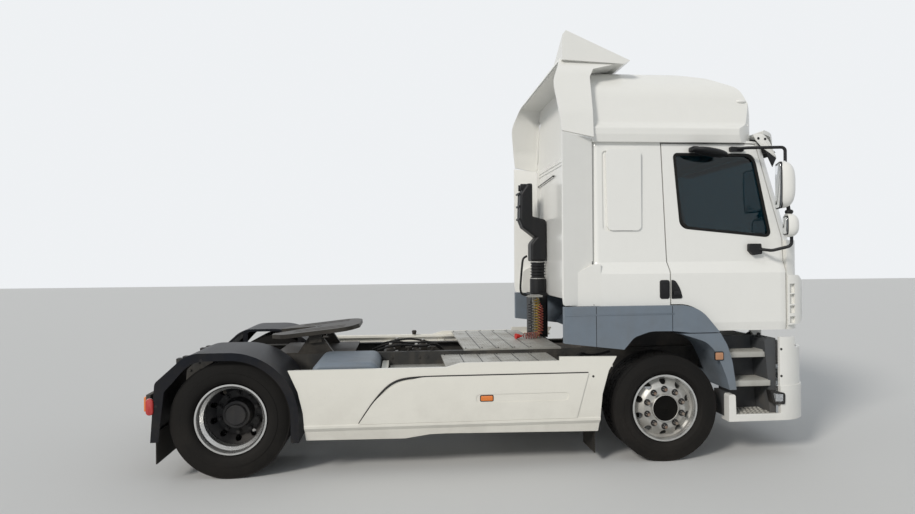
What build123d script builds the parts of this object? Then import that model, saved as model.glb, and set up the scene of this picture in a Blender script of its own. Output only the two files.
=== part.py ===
"""Two-axle cab-over tractor unit with a high-roof sleeper cab.

Millimetres. X points forward, Y to the left, Z up. The origin is on the ground, under the
middle of the vehicle's box. Pieces are built on the right-hand side (minus Y) and mirrored.
"""
from build123d import *
from math import cos, hypot, pi, radians, sin, tan
import os

# Overall layout
WHEELBASE = 3800
REAR_OVERHANG = 720
FRONT_OVERHANG = 1420
OVERALL_LENGTH = REAR_OVERHANG + WHEELBASE + FRONT_OVERHANG
REAR_X = -OVERALL_LENGTH / 2
REAR_AXLE_X = REAR_X + REAR_OVERHANG
FRONT_AXLE_X = REAR_AXLE_X + WHEELBASE

# Wheels and tyres: 22.5 inch rims
SEAT_RADIUS = 285.75
FLANGE_RADIUS = 298.5
FLANGE_THICKNESS = 12
RIM_WALL = 12
WELL_DEPTH = 24
REAR_TYRE_RADIUS = 497
REAR_TYRE_WIDTH = 313
REAR_TREAD_WIDTH = 262
REAR_RIM_WIDTH = 229
TWIN_SPACING = 350
REAR_TRACK_HALF = 915
FRONT_TYRE_RADIUS = 480
FRONT_TYRE_WIDTH = 386
FRONT_TREAD_WIDTH = 320
FRONT_RIM_WIDTH = 298
FRONT_TRACK_HALF = 1025
FRONT_DISC_Y = 1168
DISC_THICKNESS = 14
HUB_BORE_RADIUS = 140
HAND_HOLE_COUNT = 10
HAND_HOLE_RADIUS = 27
HAND_HOLE_CIRCLE = 222
FRONT_NOTCH_RADIUS = 30
FRONT_NOTCH_CIRCLE = 236
STUD_COUNT = 10
STUD_CIRCLE_RADIUS = 167.5
NUT_RADIUS = 18
NUT_HEIGHT = 32
RUNNING_FIT = 0.05

# Front axle and steering
KINGPIN_Y = 900
KINGPIN_RADIUS = 22
FRONT_SPINDLE_RADIUS = 40
REAR_SPINDLE_RADIUS = 55
STEERING_ARM = 160
ROD_RADIUS = 18
BEAM_WIDTH = 90

# Chassis frame
RAIL_HEIGHT = 260
RAIL_FLANGE = 75
RAIL_WEB = 8
FRAME_WIDTH = 800
FRAME_TOP = 920
RAIL_FRONT = 1080

# Cab, measured from the front axle
CAB_REAR = -640
CAB_FRONT = 1300
CAB_WALL = 60
FLOOR_Z = 1165
REAR_FLOOR_Z = 1405
ROCKER_HEIGHT = 75
ROCKER_TUCK = 12
BELT_LOW_Z = 1690
BELT_HIGH_Z = 1795
SCREEN_BASE_Z = 1985
SCREEN_TOP_Z = 2850
CAB_TOP_Z = 2905
CAB_HALF_LOW = 1180
CAB_HALF_BELT = 1140
CAB_HALF_TOP = 1120
SCREEN_RAKE = 250
PIVOT_X = 1300
PIVOT_Z = 1040
PIVOT_Y = 450
PIVOT_PIN_RADIUS = 15
DOOR_GAP = 11
PANEL_GAP = 8


def box(x, y, z):
    """Block between (low, high) pairs along each axis."""
    size = [high - low for low, high in (x, y, z)]
    middle = [(high + low) / 2 for low, high in (x, y, z)]
    return Pos(*middle) * Box(*size)


def outline(rows, place):
    """Closed face through rows of (a, b) or (a, b, corner radius), put in space by place(a, b)."""
    corners = [(row[0], row[1], row[2] if len(row) > 2 else 0) for row in rows]
    count = len(corners)
    pieces = []
    for i, (a, b, radius) in enumerate(corners):
        before = corners[i - 1]
        after = corners[(i + 1) % count]
        if not radius:
            pieces.append([(a, b)])
            continue
        into = Vector(before[0] - a, before[1] - b).normalized()
        away = Vector(after[0] - a, after[1] - b).normalized()
        half = radians(into.get_angle(away)) / 2
        run = radius / tan(half)
        middle = (into + away).normalized() * (radius / sin(half) - radius)
        pieces.append([(a + into.X * run, b + into.Y * run),
                       (a + middle.X, b + middle.Y),
                       (a + away.X * run, b + away.Y * run)])
    edges = []
    for i, piece in enumerate(pieces):
        if len(piece) == 3:
            edges.append(ThreePointArc(*[place(*point) for point in piece]))
        start, end = piece[-1], pieces[(i + 1) % count][0]
        if hypot(end[0] - start[0], end[1] - start[1]) > 0.01:
            edges.append(Line(place(*start), place(*end)))
    return make_face(edges)


def along_y(rows, low, high):
    """Side-view outline (x, z) given thickness from low to high across the vehicle."""
    return extrude(outline(rows, lambda x, z: (x, low, z)), amount=high - low, dir=(0, 1, 0))


def along_x(rows, low, high):
    """Front-view outline (y, z) given length from low to high along the vehicle."""
    return extrude(outline(rows, lambda y, z: (low, y, z)), amount=high - low, dir=(1, 0, 0))


def along_z(rows, low, high):
    """Plan outline (x, y) given height from low to high."""
    return extrude(outline(rows, lambda x, y: (x, y, low)), amount=high - low, dir=(0, 0, 1))


def turned(rows, x, z):
    """Outline (y, radius) turned about the cross axis through (x, z)."""
    face = outline(rows, lambda y, radius: (x, y, z + radius))
    return revolve(face, axis=Axis((x, 0, z), (0, 1, 0)))


def turned_z(rows, x, y):
    """Outline (radius, z) turned about the upright axis through (x, y)."""
    face = outline(rows, lambda radius, z: (x + radius, y, z))
    return revolve(face, axis=Axis((x, y, 0), (0, 0, 1)))


def rod_y(x, y, z, radius):
    """Round bar across the vehicle, y as a (low, high) pair."""
    return Pos(x, sum(y) / 2, z) * Rot(90, 0, 0) * Cylinder(radius, y[1] - y[0])


def rod_x(x, y, z, radius):
    """Round bar along the vehicle, x as a (low, high) pair."""
    return Pos(sum(x) / 2, y, z) * Rot(0, 90, 0) * Cylinder(radius, x[1] - x[0])


def rod_z(x, y, z, radius):
    """Upright round bar, z as a (low, high) pair."""
    return Pos(x, y, sum(z) / 2) * Cylinder(radius, z[1] - z[0])


def other_side(shape):
    return mirror(shape, about=Plane.XZ)


def pair(shape):
    """The right-hand piece and its mirror image, as one node."""
    return Compound(children=[*shape.solids(), *other_side(shape).solids()])


def front(x):
    return FRONT_AXLE_X + x


def rear(x):
    return REAR_AXLE_X + x


def shifted(rows, x):
    """Rows measured from an axle, moved to the vehicle's own origin."""
    return [(row[0] + x, *row[1:]) for row in rows]


nodes = {}


def tyre(axle_x, centre_y, radius, width, tread, rim_width):
    """Closed tyre body that sits on both bead seats."""
    half_rim = rim_width / 2
    bulge = SEAT_RADIUS + 0.45 * (radius - SEAT_RADIUS)
    rows = [(-half_rim, SEAT_RADIUS), (-half_rim, FLANGE_RADIUS + 4), (-width / 2, bulge, 70),
            (-tread / 2, radius, 22), (tread / 2, radius, 22), (width / 2, bulge, 70),
            (half_rim, FLANGE_RADIUS + 4), (half_rim, SEAT_RADIUS)]
    return turned([(centre_y + y, r, *rest) for y, r, *rest in rows], axle_x, radius)


def rim_barrel(axle_x, axle_z, centre_y, rim_width):
    """Drop-centre rim with a flange at each edge."""
    seat = rim_width / 2
    lip = seat + FLANGE_THICKNESS
    well = SEAT_RADIUS - WELL_DEPTH
    rows = [(-lip, FLANGE_RADIUS), (-seat, FLANGE_RADIUS), (-seat, SEAT_RADIUS),
            (-seat + 45, SEAT_RADIUS), (-seat + 72, well), (seat - 72, well),
            (seat - 45, SEAT_RADIUS), (seat, SEAT_RADIUS), (seat, FLANGE_RADIUS), (lip, FLANGE_RADIUS),
            (lip, SEAT_RADIUS), (seat - 8, SEAT_RADIUS - RIM_WALL), (seat - 40, SEAT_RADIUS - RIM_WALL),
            (seat - 68, well - RIM_WALL), (-seat + 68, well - RIM_WALL),
            (-seat + 40, SEAT_RADIUS - RIM_WALL), (-seat + 8, SEAT_RADIUS - RIM_WALL),
            (-lip, SEAT_RADIUS)]
    return turned([(centre_y + y, r) for y, r in rows], axle_x, axle_z)


def around(count, radius, make):
    """Copies of make(x, z) spaced round a wheel."""
    turn = 2 * pi / count
    return [make(radius * sin(turn * i), radius * cos(turn * i)) for i in range(count)]


half_frame = FRAME_WIDTH / 2

# Front wheels, right-hand side
front_z = FRONT_TYRE_RADIUS
barrel_inner = SEAT_RADIUS - WELL_DEPTH
disc_rows = [(-FRONT_DISC_Y, HUB_BORE_RADIUS - 60), (-FRONT_DISC_Y, 192, 30),
             (-FRONT_DISC_Y + 52, barrel_inner - 4),
             (-FRONT_DISC_Y + 52 + DISC_THICKNESS + 6, barrel_inner - 4),
             (-FRONT_DISC_Y + DISC_THICKNESS, 186, 20),
             (-FRONT_DISC_Y + DISC_THICKNESS, HUB_BORE_RADIUS - 60)]
front_disc = turned(disc_rows, FRONT_AXLE_X, front_z)
for hole in around(HAND_HOLE_COUNT, FRONT_NOTCH_CIRCLE, lambda x, z: (x, z)):
    front_disc -= rod_y(FRONT_AXLE_X + hole[0], (-FRONT_DISC_Y - 10, -FRONT_DISC_Y + 90), front_z + hole[1],
                        FRONT_NOTCH_RADIUS)
front_rim = rim_barrel(FRONT_AXLE_X, front_z, -FRONT_TRACK_HALF, FRONT_RIM_WIDTH) + front_disc
hub_rows = [(-1188, 0), (-1188, 62, 8), (-1176, 80), (-1176, 112, 10), (-1150, 118), (-1118, 118),
            (-1118, 150),
            (-1104, 150), (-1104, 95), (-1000, 95), (-1000, FRONT_SPINDLE_RADIUS + RUNNING_FIT),
            (-1140, FRONT_SPINDLE_RADIUS + RUNNING_FIT), (-1140, 0)]
front_rim += turned(hub_rows, FRONT_AXLE_X, front_z)
for stud in around(STUD_COUNT, STUD_CIRCLE_RADIUS, lambda x, z: (x, z)):
    front_rim += rod_y(FRONT_AXLE_X + stud[0], (-FRONT_DISC_Y - NUT_HEIGHT, -FRONT_DISC_Y + 1),
                       front_z + stud[1], NUT_RADIUS)
front_tyre = tyre(FRONT_AXLE_X, -FRONT_TRACK_HALF, FRONT_TYRE_RADIUS, FRONT_TYRE_WIDTH, FRONT_TREAD_WIDTH,
                  FRONT_RIM_WIDTH)
nodes["front_rim_right"] = front_rim
nodes["front_tyre_right"] = front_tyre

# Rear twin wheels, right-hand side
rear_z = REAR_TYRE_RADIUS
twin_centres = [-REAR_TRACK_HALF - TWIN_SPACING / 2, -REAR_TRACK_HALF + TWIN_SPACING / 2]
rear_rims = None
for centre, outward in zip(twin_centres, (-1, 1)):
    face = -REAR_TRACK_HALF
    rows = [(face, 90), (face, 200), (face + outward * 68, SEAT_RADIUS - RIM_WALL + 2),
            (face + outward * (68 + DISC_THICKNESS + 8), SEAT_RADIUS - RIM_WALL + 2),
            (face + outward * DISC_THICKNESS, 196), (face + outward * DISC_THICKNESS, 90)]
    wheel = rim_barrel(REAR_AXLE_X, rear_z, centre, REAR_RIM_WIDTH) + turned(rows, REAR_AXLE_X, rear_z)
    rear_rims = wheel if rear_rims is None else rear_rims + wheel
rear_hub_rows = [(-1060, 0), (-1060, 85, 10), (-1035, 95), (-1035, 118, 8), (-929, 135), (-901, 135),
                 (-860, 130), (-860, REAR_SPINDLE_RADIUS + RUNNING_FIT),
                 (-1000, REAR_SPINDLE_RADIUS + RUNNING_FIT),
                 (-1000, 0)]
rear_rims += turned(rear_hub_rows, REAR_AXLE_X, rear_z)
for hole in around(HAND_HOLE_COUNT, HAND_HOLE_CIRCLE, lambda x, z: (x, z)):
    rear_rims -= rod_y(REAR_AXLE_X + hole[0], (-REAR_TRACK_HALF - 90, -REAR_TRACK_HALF + 90),
                       rear_z + hole[1], HAND_HOLE_RADIUS)
for stud in around(STUD_COUNT, STUD_CIRCLE_RADIUS, lambda x, z: (x, z)):
    rear_rims += rod_y(REAR_AXLE_X + stud[0],
                       (-REAR_TRACK_HALF - DISC_THICKNESS - NUT_HEIGHT, -REAR_TRACK_HALF - DISC_THICKNESS + 1),
                       rear_z + stud[1], NUT_RADIUS)
rear_tyres = [tyre(REAR_AXLE_X, centre, REAR_TYRE_RADIUS, REAR_TYRE_WIDTH, REAR_TREAD_WIDTH, REAR_RIM_WIDTH)
              for centre in twin_centres]
nodes["rear_rims_right"] = rear_rims
nodes["rear_tyres_right"] = Compound(children=[tyre_body.solid() for tyre_body in rear_tyres])

# Front axle beam with its leaf springs, and the steered knuckles
EYE_RADIUS = 38
EYE_LOW = 432
EYE_HIGH = 528
LUG_HEIGHT = 42
LUG_CLEARANCE = 5
beam_rows = [(-KINGPIN_Y + 30, 522), (-780, 516, 60), (-580, 408, 60), (580, 408, 60), (780, 516, 60),
             (KINGPIN_Y - 30, 522), (KINGPIN_Y - 30, 438), (800, 430, 60), (620, 312, 60), (-620, 312, 60),
             (-800, 430, 60), (-KINGPIN_Y + 30, 438)]
beam = along_x(beam_rows, FRONT_AXLE_X - BEAM_WIDTH / 2, FRONT_AXLE_X + BEAM_WIDTH / 2)
for side in (-1, 1):
    beam += rod_z(FRONT_AXLE_X, side * KINGPIN_Y, (EYE_LOW, EYE_HIGH), EYE_RADIUS)
    beam += rod_z(FRONT_AXLE_X, side * KINGPIN_Y,
                  (EYE_LOW - LUG_CLEARANCE - LUG_HEIGHT, EYE_HIGH + LUG_CLEARANCE + LUG_HEIGHT),
                  KINGPIN_RADIUS)
SPRING_Y = 415
SPRING_WIDTH = 90
SPRING_REACH = 820
leaf_rows = [(-SPRING_REACH, 600), (-SPRING_REACH, 630), (-400, 500, 900), (-150, 452), (150, 452),
             (400, 500, 900),
             (SPRING_REACH, 630), (SPRING_REACH, 600), (400, 465, 900), (150, 408), (-150, 408),
             (-400, 465, 900)]
for side in (-1, 1):
    low = side * SPRING_Y - SPRING_WIDTH / 2
    spring = along_y(shifted(leaf_rows, FRONT_AXLE_X), low, low + SPRING_WIDTH)
    for end in (-1, 1):
        eye_x = FRONT_AXLE_X + end * SPRING_REACH
        spring += rod_y(eye_x, (low, low + SPRING_WIDTH), 620, 32)
        spring += box((eye_x - 30, eye_x + 30), (low, low + SPRING_WIDTH), (620, FRAME_TOP - RAIL_HEIGHT))
    beam += spring
    beam += box((FRONT_AXLE_X - 60, FRONT_AXLE_X + 60), (low, low + SPRING_WIDTH), (400, 470))
nodes["front_axle"] = beam

web_y = -KINGPIN_Y - 50
knuckle = rod_y(FRONT_AXLE_X, (-1138, web_y - 20), front_z, FRONT_SPINDLE_RADIUS)
knuckle += rod_y(FRONT_AXLE_X, (-995, web_y), front_z, 90)
for low in (EYE_LOW - LUG_CLEARANCE - LUG_HEIGHT, EYE_HIGH + LUG_CLEARANCE):
    lug = rod_z(FRONT_AXLE_X, -KINGPIN_Y, (low, low + LUG_HEIGHT), EYE_RADIUS)
    lug += box((FRONT_AXLE_X - EYE_RADIUS, FRONT_AXLE_X + EYE_RADIUS), (web_y - 20, -KINGPIN_Y),
               (low, low + LUG_HEIGHT))
    knuckle += lug
arm_low = EYE_LOW - LUG_CLEARANCE - LUG_HEIGHT
knuckle += box((FRONT_AXLE_X - EYE_RADIUS, FRONT_AXLE_X + EYE_RADIUS), (web_y - 20, web_y),
               (arm_low, EYE_HIGH + LUG_CLEARANCE + LUG_HEIGHT))
knuckle += box((FRONT_AXLE_X - STEERING_ARM, FRONT_AXLE_X), (-KINGPIN_Y - 22, -KINGPIN_Y + 22),
               (arm_low, arm_low + LUG_HEIGHT))
knuckle += rod_z(FRONT_AXLE_X - STEERING_ARM, -KINGPIN_Y, (arm_low, arm_low + LUG_HEIGHT), 26)
ROD_Z = arm_low - 30
knuckle += rod_z(FRONT_AXLE_X - STEERING_ARM, -KINGPIN_Y, (ROD_Z - 20, arm_low), 12)
knuckle -= rod_z(FRONT_AXLE_X, -KINGPIN_Y, (arm_low - 10, EYE_HIGH + LUG_CLEARANCE + LUG_HEIGHT + 10),
                 KINGPIN_RADIUS + RUNNING_FIT)
nodes["knuckle_right"] = knuckle

track_rod = rod_y(FRONT_AXLE_X - STEERING_ARM, (-KINGPIN_Y, KINGPIN_Y), ROD_Z, ROD_RADIUS)
for side, clearance in ((1, RUNNING_FIT), (-1, 1.0)):
    track_rod += rod_z(FRONT_AXLE_X - STEERING_ARM, side * KINGPIN_Y, (ROD_Z - 20, ROD_Z + 22), 26)
for side, clearance in ((1, RUNNING_FIT), (-1, 1.0)):
    track_rod -= rod_z(FRONT_AXLE_X - STEERING_ARM, side * KINGPIN_Y, (ROD_Z - 30, ROD_Z + 30),
                       12 + clearance)
nodes["track_rod"] = track_rod

# Rear axle with its air springs
CARRIER_Y = half_frame
AIR_SPRING_RADIUS = 105
axle = rod_y(REAR_AXLE_X, (-850, 850), rear_z, 75)
axle += Pos(REAR_AXLE_X, 0, rear_z) * Sphere(215)
axle += rod_x((REAR_AXLE_X, REAR_AXLE_X + 330), 0, rear_z, 95)
for side in (-1, 1):
    axle += rod_y(REAR_AXLE_X, sorted((side * 850, side * 998)), rear_z, REAR_SPINDLE_RADIUS)
    carrier = (side * CARRIER_Y - 45, side * CARRIER_Y + 45)
    axle += box((REAR_AXLE_X - 560, REAR_AXLE_X + 560), carrier, (rear_z - 130, rear_z - 65))
    axle += box((REAR_AXLE_X - 80, REAR_AXLE_X + 80), carrier, (rear_z - 130, rear_z + 30))
nodes["rear_axle"] = axle
air_springs = []
for side in (-1, 1):
    for x in (-470, 470):
        air_springs.append(rod_z(rear(x), side * CARRIER_Y, (rear_z - 65, FRAME_TOP - RAIL_HEIGHT),
                                 AIR_SPRING_RADIUS))
nodes["air_springs"] = Compound(children=[spring.solid() for spring in air_springs])

# Ladder frame
rail_rows = [(-half_frame, FRAME_TOP - RAIL_HEIGHT), (-half_frame, FRAME_TOP),
             (-half_frame + RAIL_FLANGE, FRAME_TOP), (-half_frame + RAIL_FLANGE, FRAME_TOP - RAIL_WEB),
             (-half_frame + RAIL_WEB, FRAME_TOP - RAIL_WEB),
             (-half_frame + RAIL_WEB, FRAME_TOP - RAIL_HEIGHT + RAIL_WEB),
             (-half_frame + RAIL_FLANGE, FRAME_TOP - RAIL_HEIGHT + RAIL_WEB),
             (-half_frame + RAIL_FLANGE, FRAME_TOP - RAIL_HEIGHT)]
rail = along_x(rail_rows, REAR_X + 60, front(RAIL_FRONT))
frame = rail + other_side(rail)
# Crossmembers: place along the vehicle, length, lower face, upper face
crossmembers = [(rear(-610), 80, 680, 900), (rear(-250), 90, 760, 900), (rear(330), 90, 760, 900),
                (rear(1300), 80, 700, 900), (front(-1450), 80, 700, 900)]
for x, length, low, high in crossmembers:
    frame += box((x - length / 2, x + length / 2), (-half_frame + RAIL_WEB, half_frame - RAIL_WEB),
                 (low, high))
frame += box((front(RAIL_FRONT) - 60, front(RAIL_FRONT)), (-half_frame + RAIL_WEB, half_frame - RAIL_WEB),
             (680, 900))
for side in (-1, 1):
    y = side * half_frame
    bracket_rows = [(RAIL_FRONT - 120, 700), (RAIL_FRONT - 120, 900), (PIVOT_X - 40, PIVOT_Z + 30, 20),
                    (PIVOT_X + 30, PIVOT_Z + 30, 25), (PIVOT_X + 30, PIVOT_Z - 40, 25), (RAIL_FRONT + 150, 760)]
    bracket = along_y(shifted(bracket_rows, FRONT_AXLE_X), *sorted((y, y + side * 25)))
    frame += bracket
    frame += rod_y(front(PIVOT_X), sorted((y + side * 20, side * (PIVOT_Y + 35))), PIVOT_Z, PIVOT_PIN_RADIUS)
nodes["chassis_frame"] = frame

# Engine with gearbox and cooling pack, as plain blocks
ENGINE_HALF = half_frame - RAIL_FLANGE - 8
engine = box((front(-520), front(760)), (-ENGINE_HALF, ENGINE_HALF), (640, 1370))
engine += box((front(-480), front(500)), (-200, 200), (470, 640))
engine += box((front(-1350), front(-520)), (-250, 250), (480, 890))
engine += box((front(760), front(840)), (-60, 60), (700, 900))
engine += box((front(840), front(950)), (-ENGINE_HALF, ENGINE_HALF), (560, 1330))
for x in (-900, 300):
    engine += box((front(x), front(x + 80)), (-half_frame + RAIL_WEB, half_frame - RAIL_WEB), (700, 740))
nodes["engine"] = engine
nodes["propeller_shaft"] = rod_x((rear(330), front(-1350)), 0, 500, 45)

# Cab sections: height, half width, front face
CORNER = 200
CAB_SECTIONS = [(FLOOR_Z, CAB_HALF_LOW - ROCKER_TUCK, CAB_FRONT),
                (FLOOR_Z + ROCKER_HEIGHT, CAB_HALF_LOW, CAB_FRONT),
                (BELT_LOW_Z, CAB_HALF_LOW, CAB_FRONT),
                (BELT_HIGH_Z, CAB_HALF_BELT, CAB_FRONT), (SCREEN_BASE_Z, CAB_HALF_BELT - 5, CAB_FRONT),
                (SCREEN_TOP_Z, CAB_HALF_TOP, CAB_FRONT - SCREEN_RAKE),
                (CAB_TOP_Z, CAB_HALF_TOP - 10, CAB_FRONT - SCREEN_RAKE - 30)]


def cab_form(inset):
    """Cab outline lofted straight from section to section, set in from the outer skin."""
    faces = []
    for z, half, nose in CAB_SECTIONS:
        tail, tip, corner = front(CAB_REAR) + inset, front(nose) - inset, CORNER - inset
        rows = [(tail, -half + inset, 60), (tip, -half + inset, corner),
                (tip, half - inset, corner), (tail, half - inset, 60)]
        faces.append(outline(rows, lambda x, y: (x, y, z)))
    return loft(faces, ruled=True)


ARCH_CORNER_X = 286
ARCH_CORNER_RADIUS = 316
ARCH_SLOPE = -1.15
TUNNEL_HALF = 430
TUNNEL_TOP = 1400
FLOOR_THICKNESS = 45


def arch_rows(grow):
    """Region of the wheel arch under the cab floor, enlarged by grow."""
    corner_x = ARCH_CORNER_X + grow * 0.45
    low = FLOOR_Z - 60
    return shifted([(CAB_REAR - 100, low), (CAB_REAR - 100, REAR_FLOOR_Z + grow),
                    (corner_x, REAR_FLOOR_Z + grow, ARCH_CORNER_RADIUS + grow),
                    (corner_x + (REAR_FLOOR_Z + grow - low) / -ARCH_SLOPE, low)], FRONT_AXLE_X)


# Door outline in side view, measured from the front axle
DOOR_REAR_TOP = 13
DOOR_REAR_BELT = 52
DOOR_REAR_LOW = 69
DOOR_FRONT_LOW = 1163
DOOR_FRONT_BELT = 1149
DOOR_FRONT_TOP = 911
DOOR_TOP_Z = CAB_TOP_Z - 33
HINGE_ROLL = 20
HINGE_RELIEF = 12


def door_rows(grow):
    """Door outline in side view, enlarged by grow on every side that has a neighbour."""
    corner_x = ARCH_CORNER_X + (PANEL_GAP - grow) * 0.45
    corner_z = REAR_FLOOR_Z + PANEL_GAP - grow
    low = FLOOR_Z - grow
    return shifted([(DOOR_REAR_LOW - grow, corner_z),
                    (corner_x, corner_z, ARCH_CORNER_RADIUS + PANEL_GAP - grow),
                    (corner_x + (corner_z - low) / -ARCH_SLOPE, low), (DOOR_FRONT_LOW + grow, low),
                    (DOOR_FRONT_LOW + grow, BELT_LOW_Z), (DOOR_FRONT_BELT + grow, SCREEN_BASE_Z + 20),
                    (DOOR_FRONT_TOP + grow, DOOR_TOP_Z + grow),
                    (DOOR_REAR_TOP - grow, DOOR_TOP_Z + grow), (DOOR_REAR_BELT - grow, BELT_HIGH_Z),
                    (DOOR_REAR_LOW - grow, BELT_HIGH_Z - 80)], FRONT_AXLE_X)


# Side window: corners with their radii
WINDOW = [(118, 2790, 45), (895, 2786, 90), (1052, 2010, 70), (176, 2098, 90)]

outer = cab_form(0)
inner = cab_form(CAB_WALL)
inner_high = CAB_TOP_Z - 40
cavity = inner & box((front(CAB_REAR), front(CAB_FRONT)), (-1300, 1300),
                     (FLOOR_Z + FLOOR_THICKNESS, inner_high))
cavity -= along_y(arch_rows(FLOOR_THICKNESS), -1300, 1300)
tunnel_skin = TUNNEL_HALF + FLOOR_THICKNESS
cavity -= box((front(0), front(CAB_FRONT + 10)), (-tunnel_skin, tunnel_skin),
              (FLOOR_Z - 10, TUNNEL_TOP + FLOOR_THICKNESS))
shell = outer - along_y(arch_rows(0), -1300, 1300)
shell -= box((front(0), front(CAB_FRONT + 10)), (-TUNNEL_HALF, TUNNEL_HALF), (FLOOR_Z - 10, TUNNEL_TOP))
shell -= cavity
# Blanked sleeper window: a pressed recess with a flat panel in it
BLANK = [(-544, 2805, 35), (-240, 2805, 35), (-240, 2079, 40), (-544, 2079, 40)]
BLANK_DEPTH = 12
BLANK_INSET = 32
BLANK_RIM_DEPTH = 4
BLANK_MIDDLE = (-392, 2442)


def towards(value, middle, run):
    """Value moved by run towards the middle."""
    return value + run if value < middle else value - run


blank_panel = [(towards(x, BLANK_MIDDLE[0], BLANK_INSET), towards(z, BLANK_MIDDLE[1], BLANK_INSET), 18)
               for x, z, _ in BLANK]
for low, high in ((-1300, -1000), (1000, 1300)):
    panel_block = along_y(shifted(blank_panel, FRONT_AXLE_X), low, high)
    pressed = along_y(shifted(BLANK, FRONT_AXLE_X), low, high) - panel_block
    shell -= pressed & (outer - cab_form(BLANK_DEPTH))
    shell -= panel_block & (outer - cab_form(BLANK_RIM_DEPTH))
door_depth = cab_form(CAB_WALL + DOOR_GAP)
door_band = outer - door_depth
right_cut = door_band & along_y(door_rows(DOOR_GAP), -1300, -CAB_HALF_TOP + 300)
shell -= right_cut
shell -= other_side(right_cut)
SCREEN_LOW = SCREEN_BASE_Z + 45
SCREEN_HIGH = SCREEN_TOP_Z - 40
SCREEN_HALF = 985
screen_block = along_x([(-SCREEN_HALF, SCREEN_LOW, 90), (SCREEN_HALF, SCREEN_LOW, 90),
                        (SCREEN_HALF - 20, SCREEN_HIGH, 90),
                        (-SCREEN_HALF + 20, SCREEN_HIGH, 90)], front(700), front(CAB_FRONT + 50))
shell -= screen_block
lug_rows = [(PIVOT_X - 32, PIVOT_Z - 30, 25), (PIVOT_X + 32, PIVOT_Z - 30, 25), (PIVOT_X + 32, FLOOR_Z - 30),
            (PIVOT_X, FLOOR_Z + 10), (PIVOT_X - 150, FLOOR_Z + 10), (PIVOT_X - 150, FLOOR_Z)]
lug = along_y(shifted(lug_rows, FRONT_AXLE_X), -PIVOT_Y - 22, -PIVOT_Y + 18)
lug -= rod_y(front(PIVOT_X), (-PIVOT_Y - 60, -PIVOT_Y + 60), PIVOT_Z, PIVOT_PIN_RADIUS + RUNNING_FIT)
shell += lug
shell += other_side(lug)
# Embossed panel on each cab side
emboss = along_y(shifted([(-518, 2814, 45), (-190, 2814, 45), (-190, 2082, 45), (-500, 2082, 45)],
                         FRONT_AXLE_X),
                 -CAB_HALF_BELT - 8, -CAB_HALF_TOP + 30)
shell += emboss
shell += other_side(emboss)
nodes["cab_shell"] = shell
windscreen = (cab_form(6) - cab_form(18)) & screen_block
nodes["windscreen"] = windscreen

# Doors with their glass and mirrors
window_block = along_y(shifted(WINDOW, FRONT_AXLE_X), -1300, -900)
door = (outer - inner) & along_y(door_rows(0), -1300, -CAB_HALF_TOP + 300)
door -= window_block
# The door is thinner beside its hinges, so that its inner edge clears the shell as it swings
door -= cab_form(CAB_WALL - HINGE_RELIEF) & box((front(DOOR_FRONT_LOW - 75), front(DOOR_FRONT_LOW + 40)),
                                                (-1300, 0), (FLOOR_Z - 10, SCREEN_BASE_Z + 30))
# The front edge is rolled about the hinge axis
hinge_x = front(DOOR_FRONT_LOW - HINGE_ROLL)
hinge_y = -CAB_HALF_LOW + HINGE_ROLL
door -= box((hinge_x, hinge_x + 2 * HINGE_ROLL), (hinge_y - 2 * HINGE_ROLL, hinge_y),
            (FLOOR_Z - 10, BELT_LOW_Z)) \
    - rod_z(hinge_x, hinge_y, (FLOOR_Z - 10, BELT_LOW_Z), HINGE_ROLL)
nodes["door_right"] = door
nodes["door_glass_right"] = (cab_form(14) - cab_form(20)) & window_block

# Mirror heads: half width, height, and how far the shell stands forward, from a flat glass side
MIRROR_TURN = -18
MIRROR_AT = (1009, -1325)
SMALL_MIRROR_AT = (1067, -1330)


def mirror_shell(at, sections):
    """Mirror head lofted through sections of (height, half width, depth, corner), turned to the driver."""
    faces = []
    for z, half, depth, corner in sections:
        rows = [(0, -half, corner / 3), (depth, -half, corner), (depth, half, corner), (0, half, corner / 3)]
        faces.append(outline(rows, lambda x, y: (x, y, z)))
    return Pos(front(at[0]), at[1], 0) * Rot(0, 0, MIRROR_TURN) * loft(faces, ruled=True)


mirror_head = mirror_shell(MIRROR_AT, [(2242, 88, 60, 24), (2262, 108, 84, 36), (2310, 118, 104, 45),
                                       (2620, 118, 104, 45), (2668, 108, 84, 36), (2692, 88, 60, 24)])
small_head = mirror_shell(SMALL_MIRROR_AT, [(2010, 62, 48, 20), (2028, 82, 68, 30), (2060, 92, 84, 36),
                                            (2165, 92, 84, 36), (2195, 82, 68, 30), (2212, 62, 48, 20)])
MIRROR_ARM = 14


def arm(points, radii, thickness=MIRROR_ARM):
    """Bent round bar through points, with one bend radius for each inner point."""
    path = FilletPolyline(*points, radius=radii)
    return sweep(Plane(path @ 0, z_dir=path % 0) * Circle(thickness), path=path)


lower_arm = arm([(front(900), -1150, 1905), (front(985), -1250, 1890), (front(1120), -1330, 1930),
                 (front(1120), -1330, 2025)],
                [70, 45])
upper_arm = arm([(front(720), -1135, 2822), (front(760), -1220, 2822), (front(1070), -1325, 2812),
                 (front(1070), -1325, 2670)],
                [60, 35])
link_arm = rod_z(front(1095), -1330, (2200, 2255), MIRROR_ARM)
lower_foot = along_y(shifted([(812, 1955, 12), (925, 1955, 12), (935, 1860, 12), (850, 1850, 12),
                              (812, 1890, 12)], FRONT_AXLE_X),
                     -1180, -CAB_HALF_BELT + 2)
upper_foot = along_y(shifted([(655, 2845, 10), (780, 2840, 10), (780, 2800, 10), (655, 2800, 10)],
                             FRONT_AXLE_X), -1155, -1105)
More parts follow.
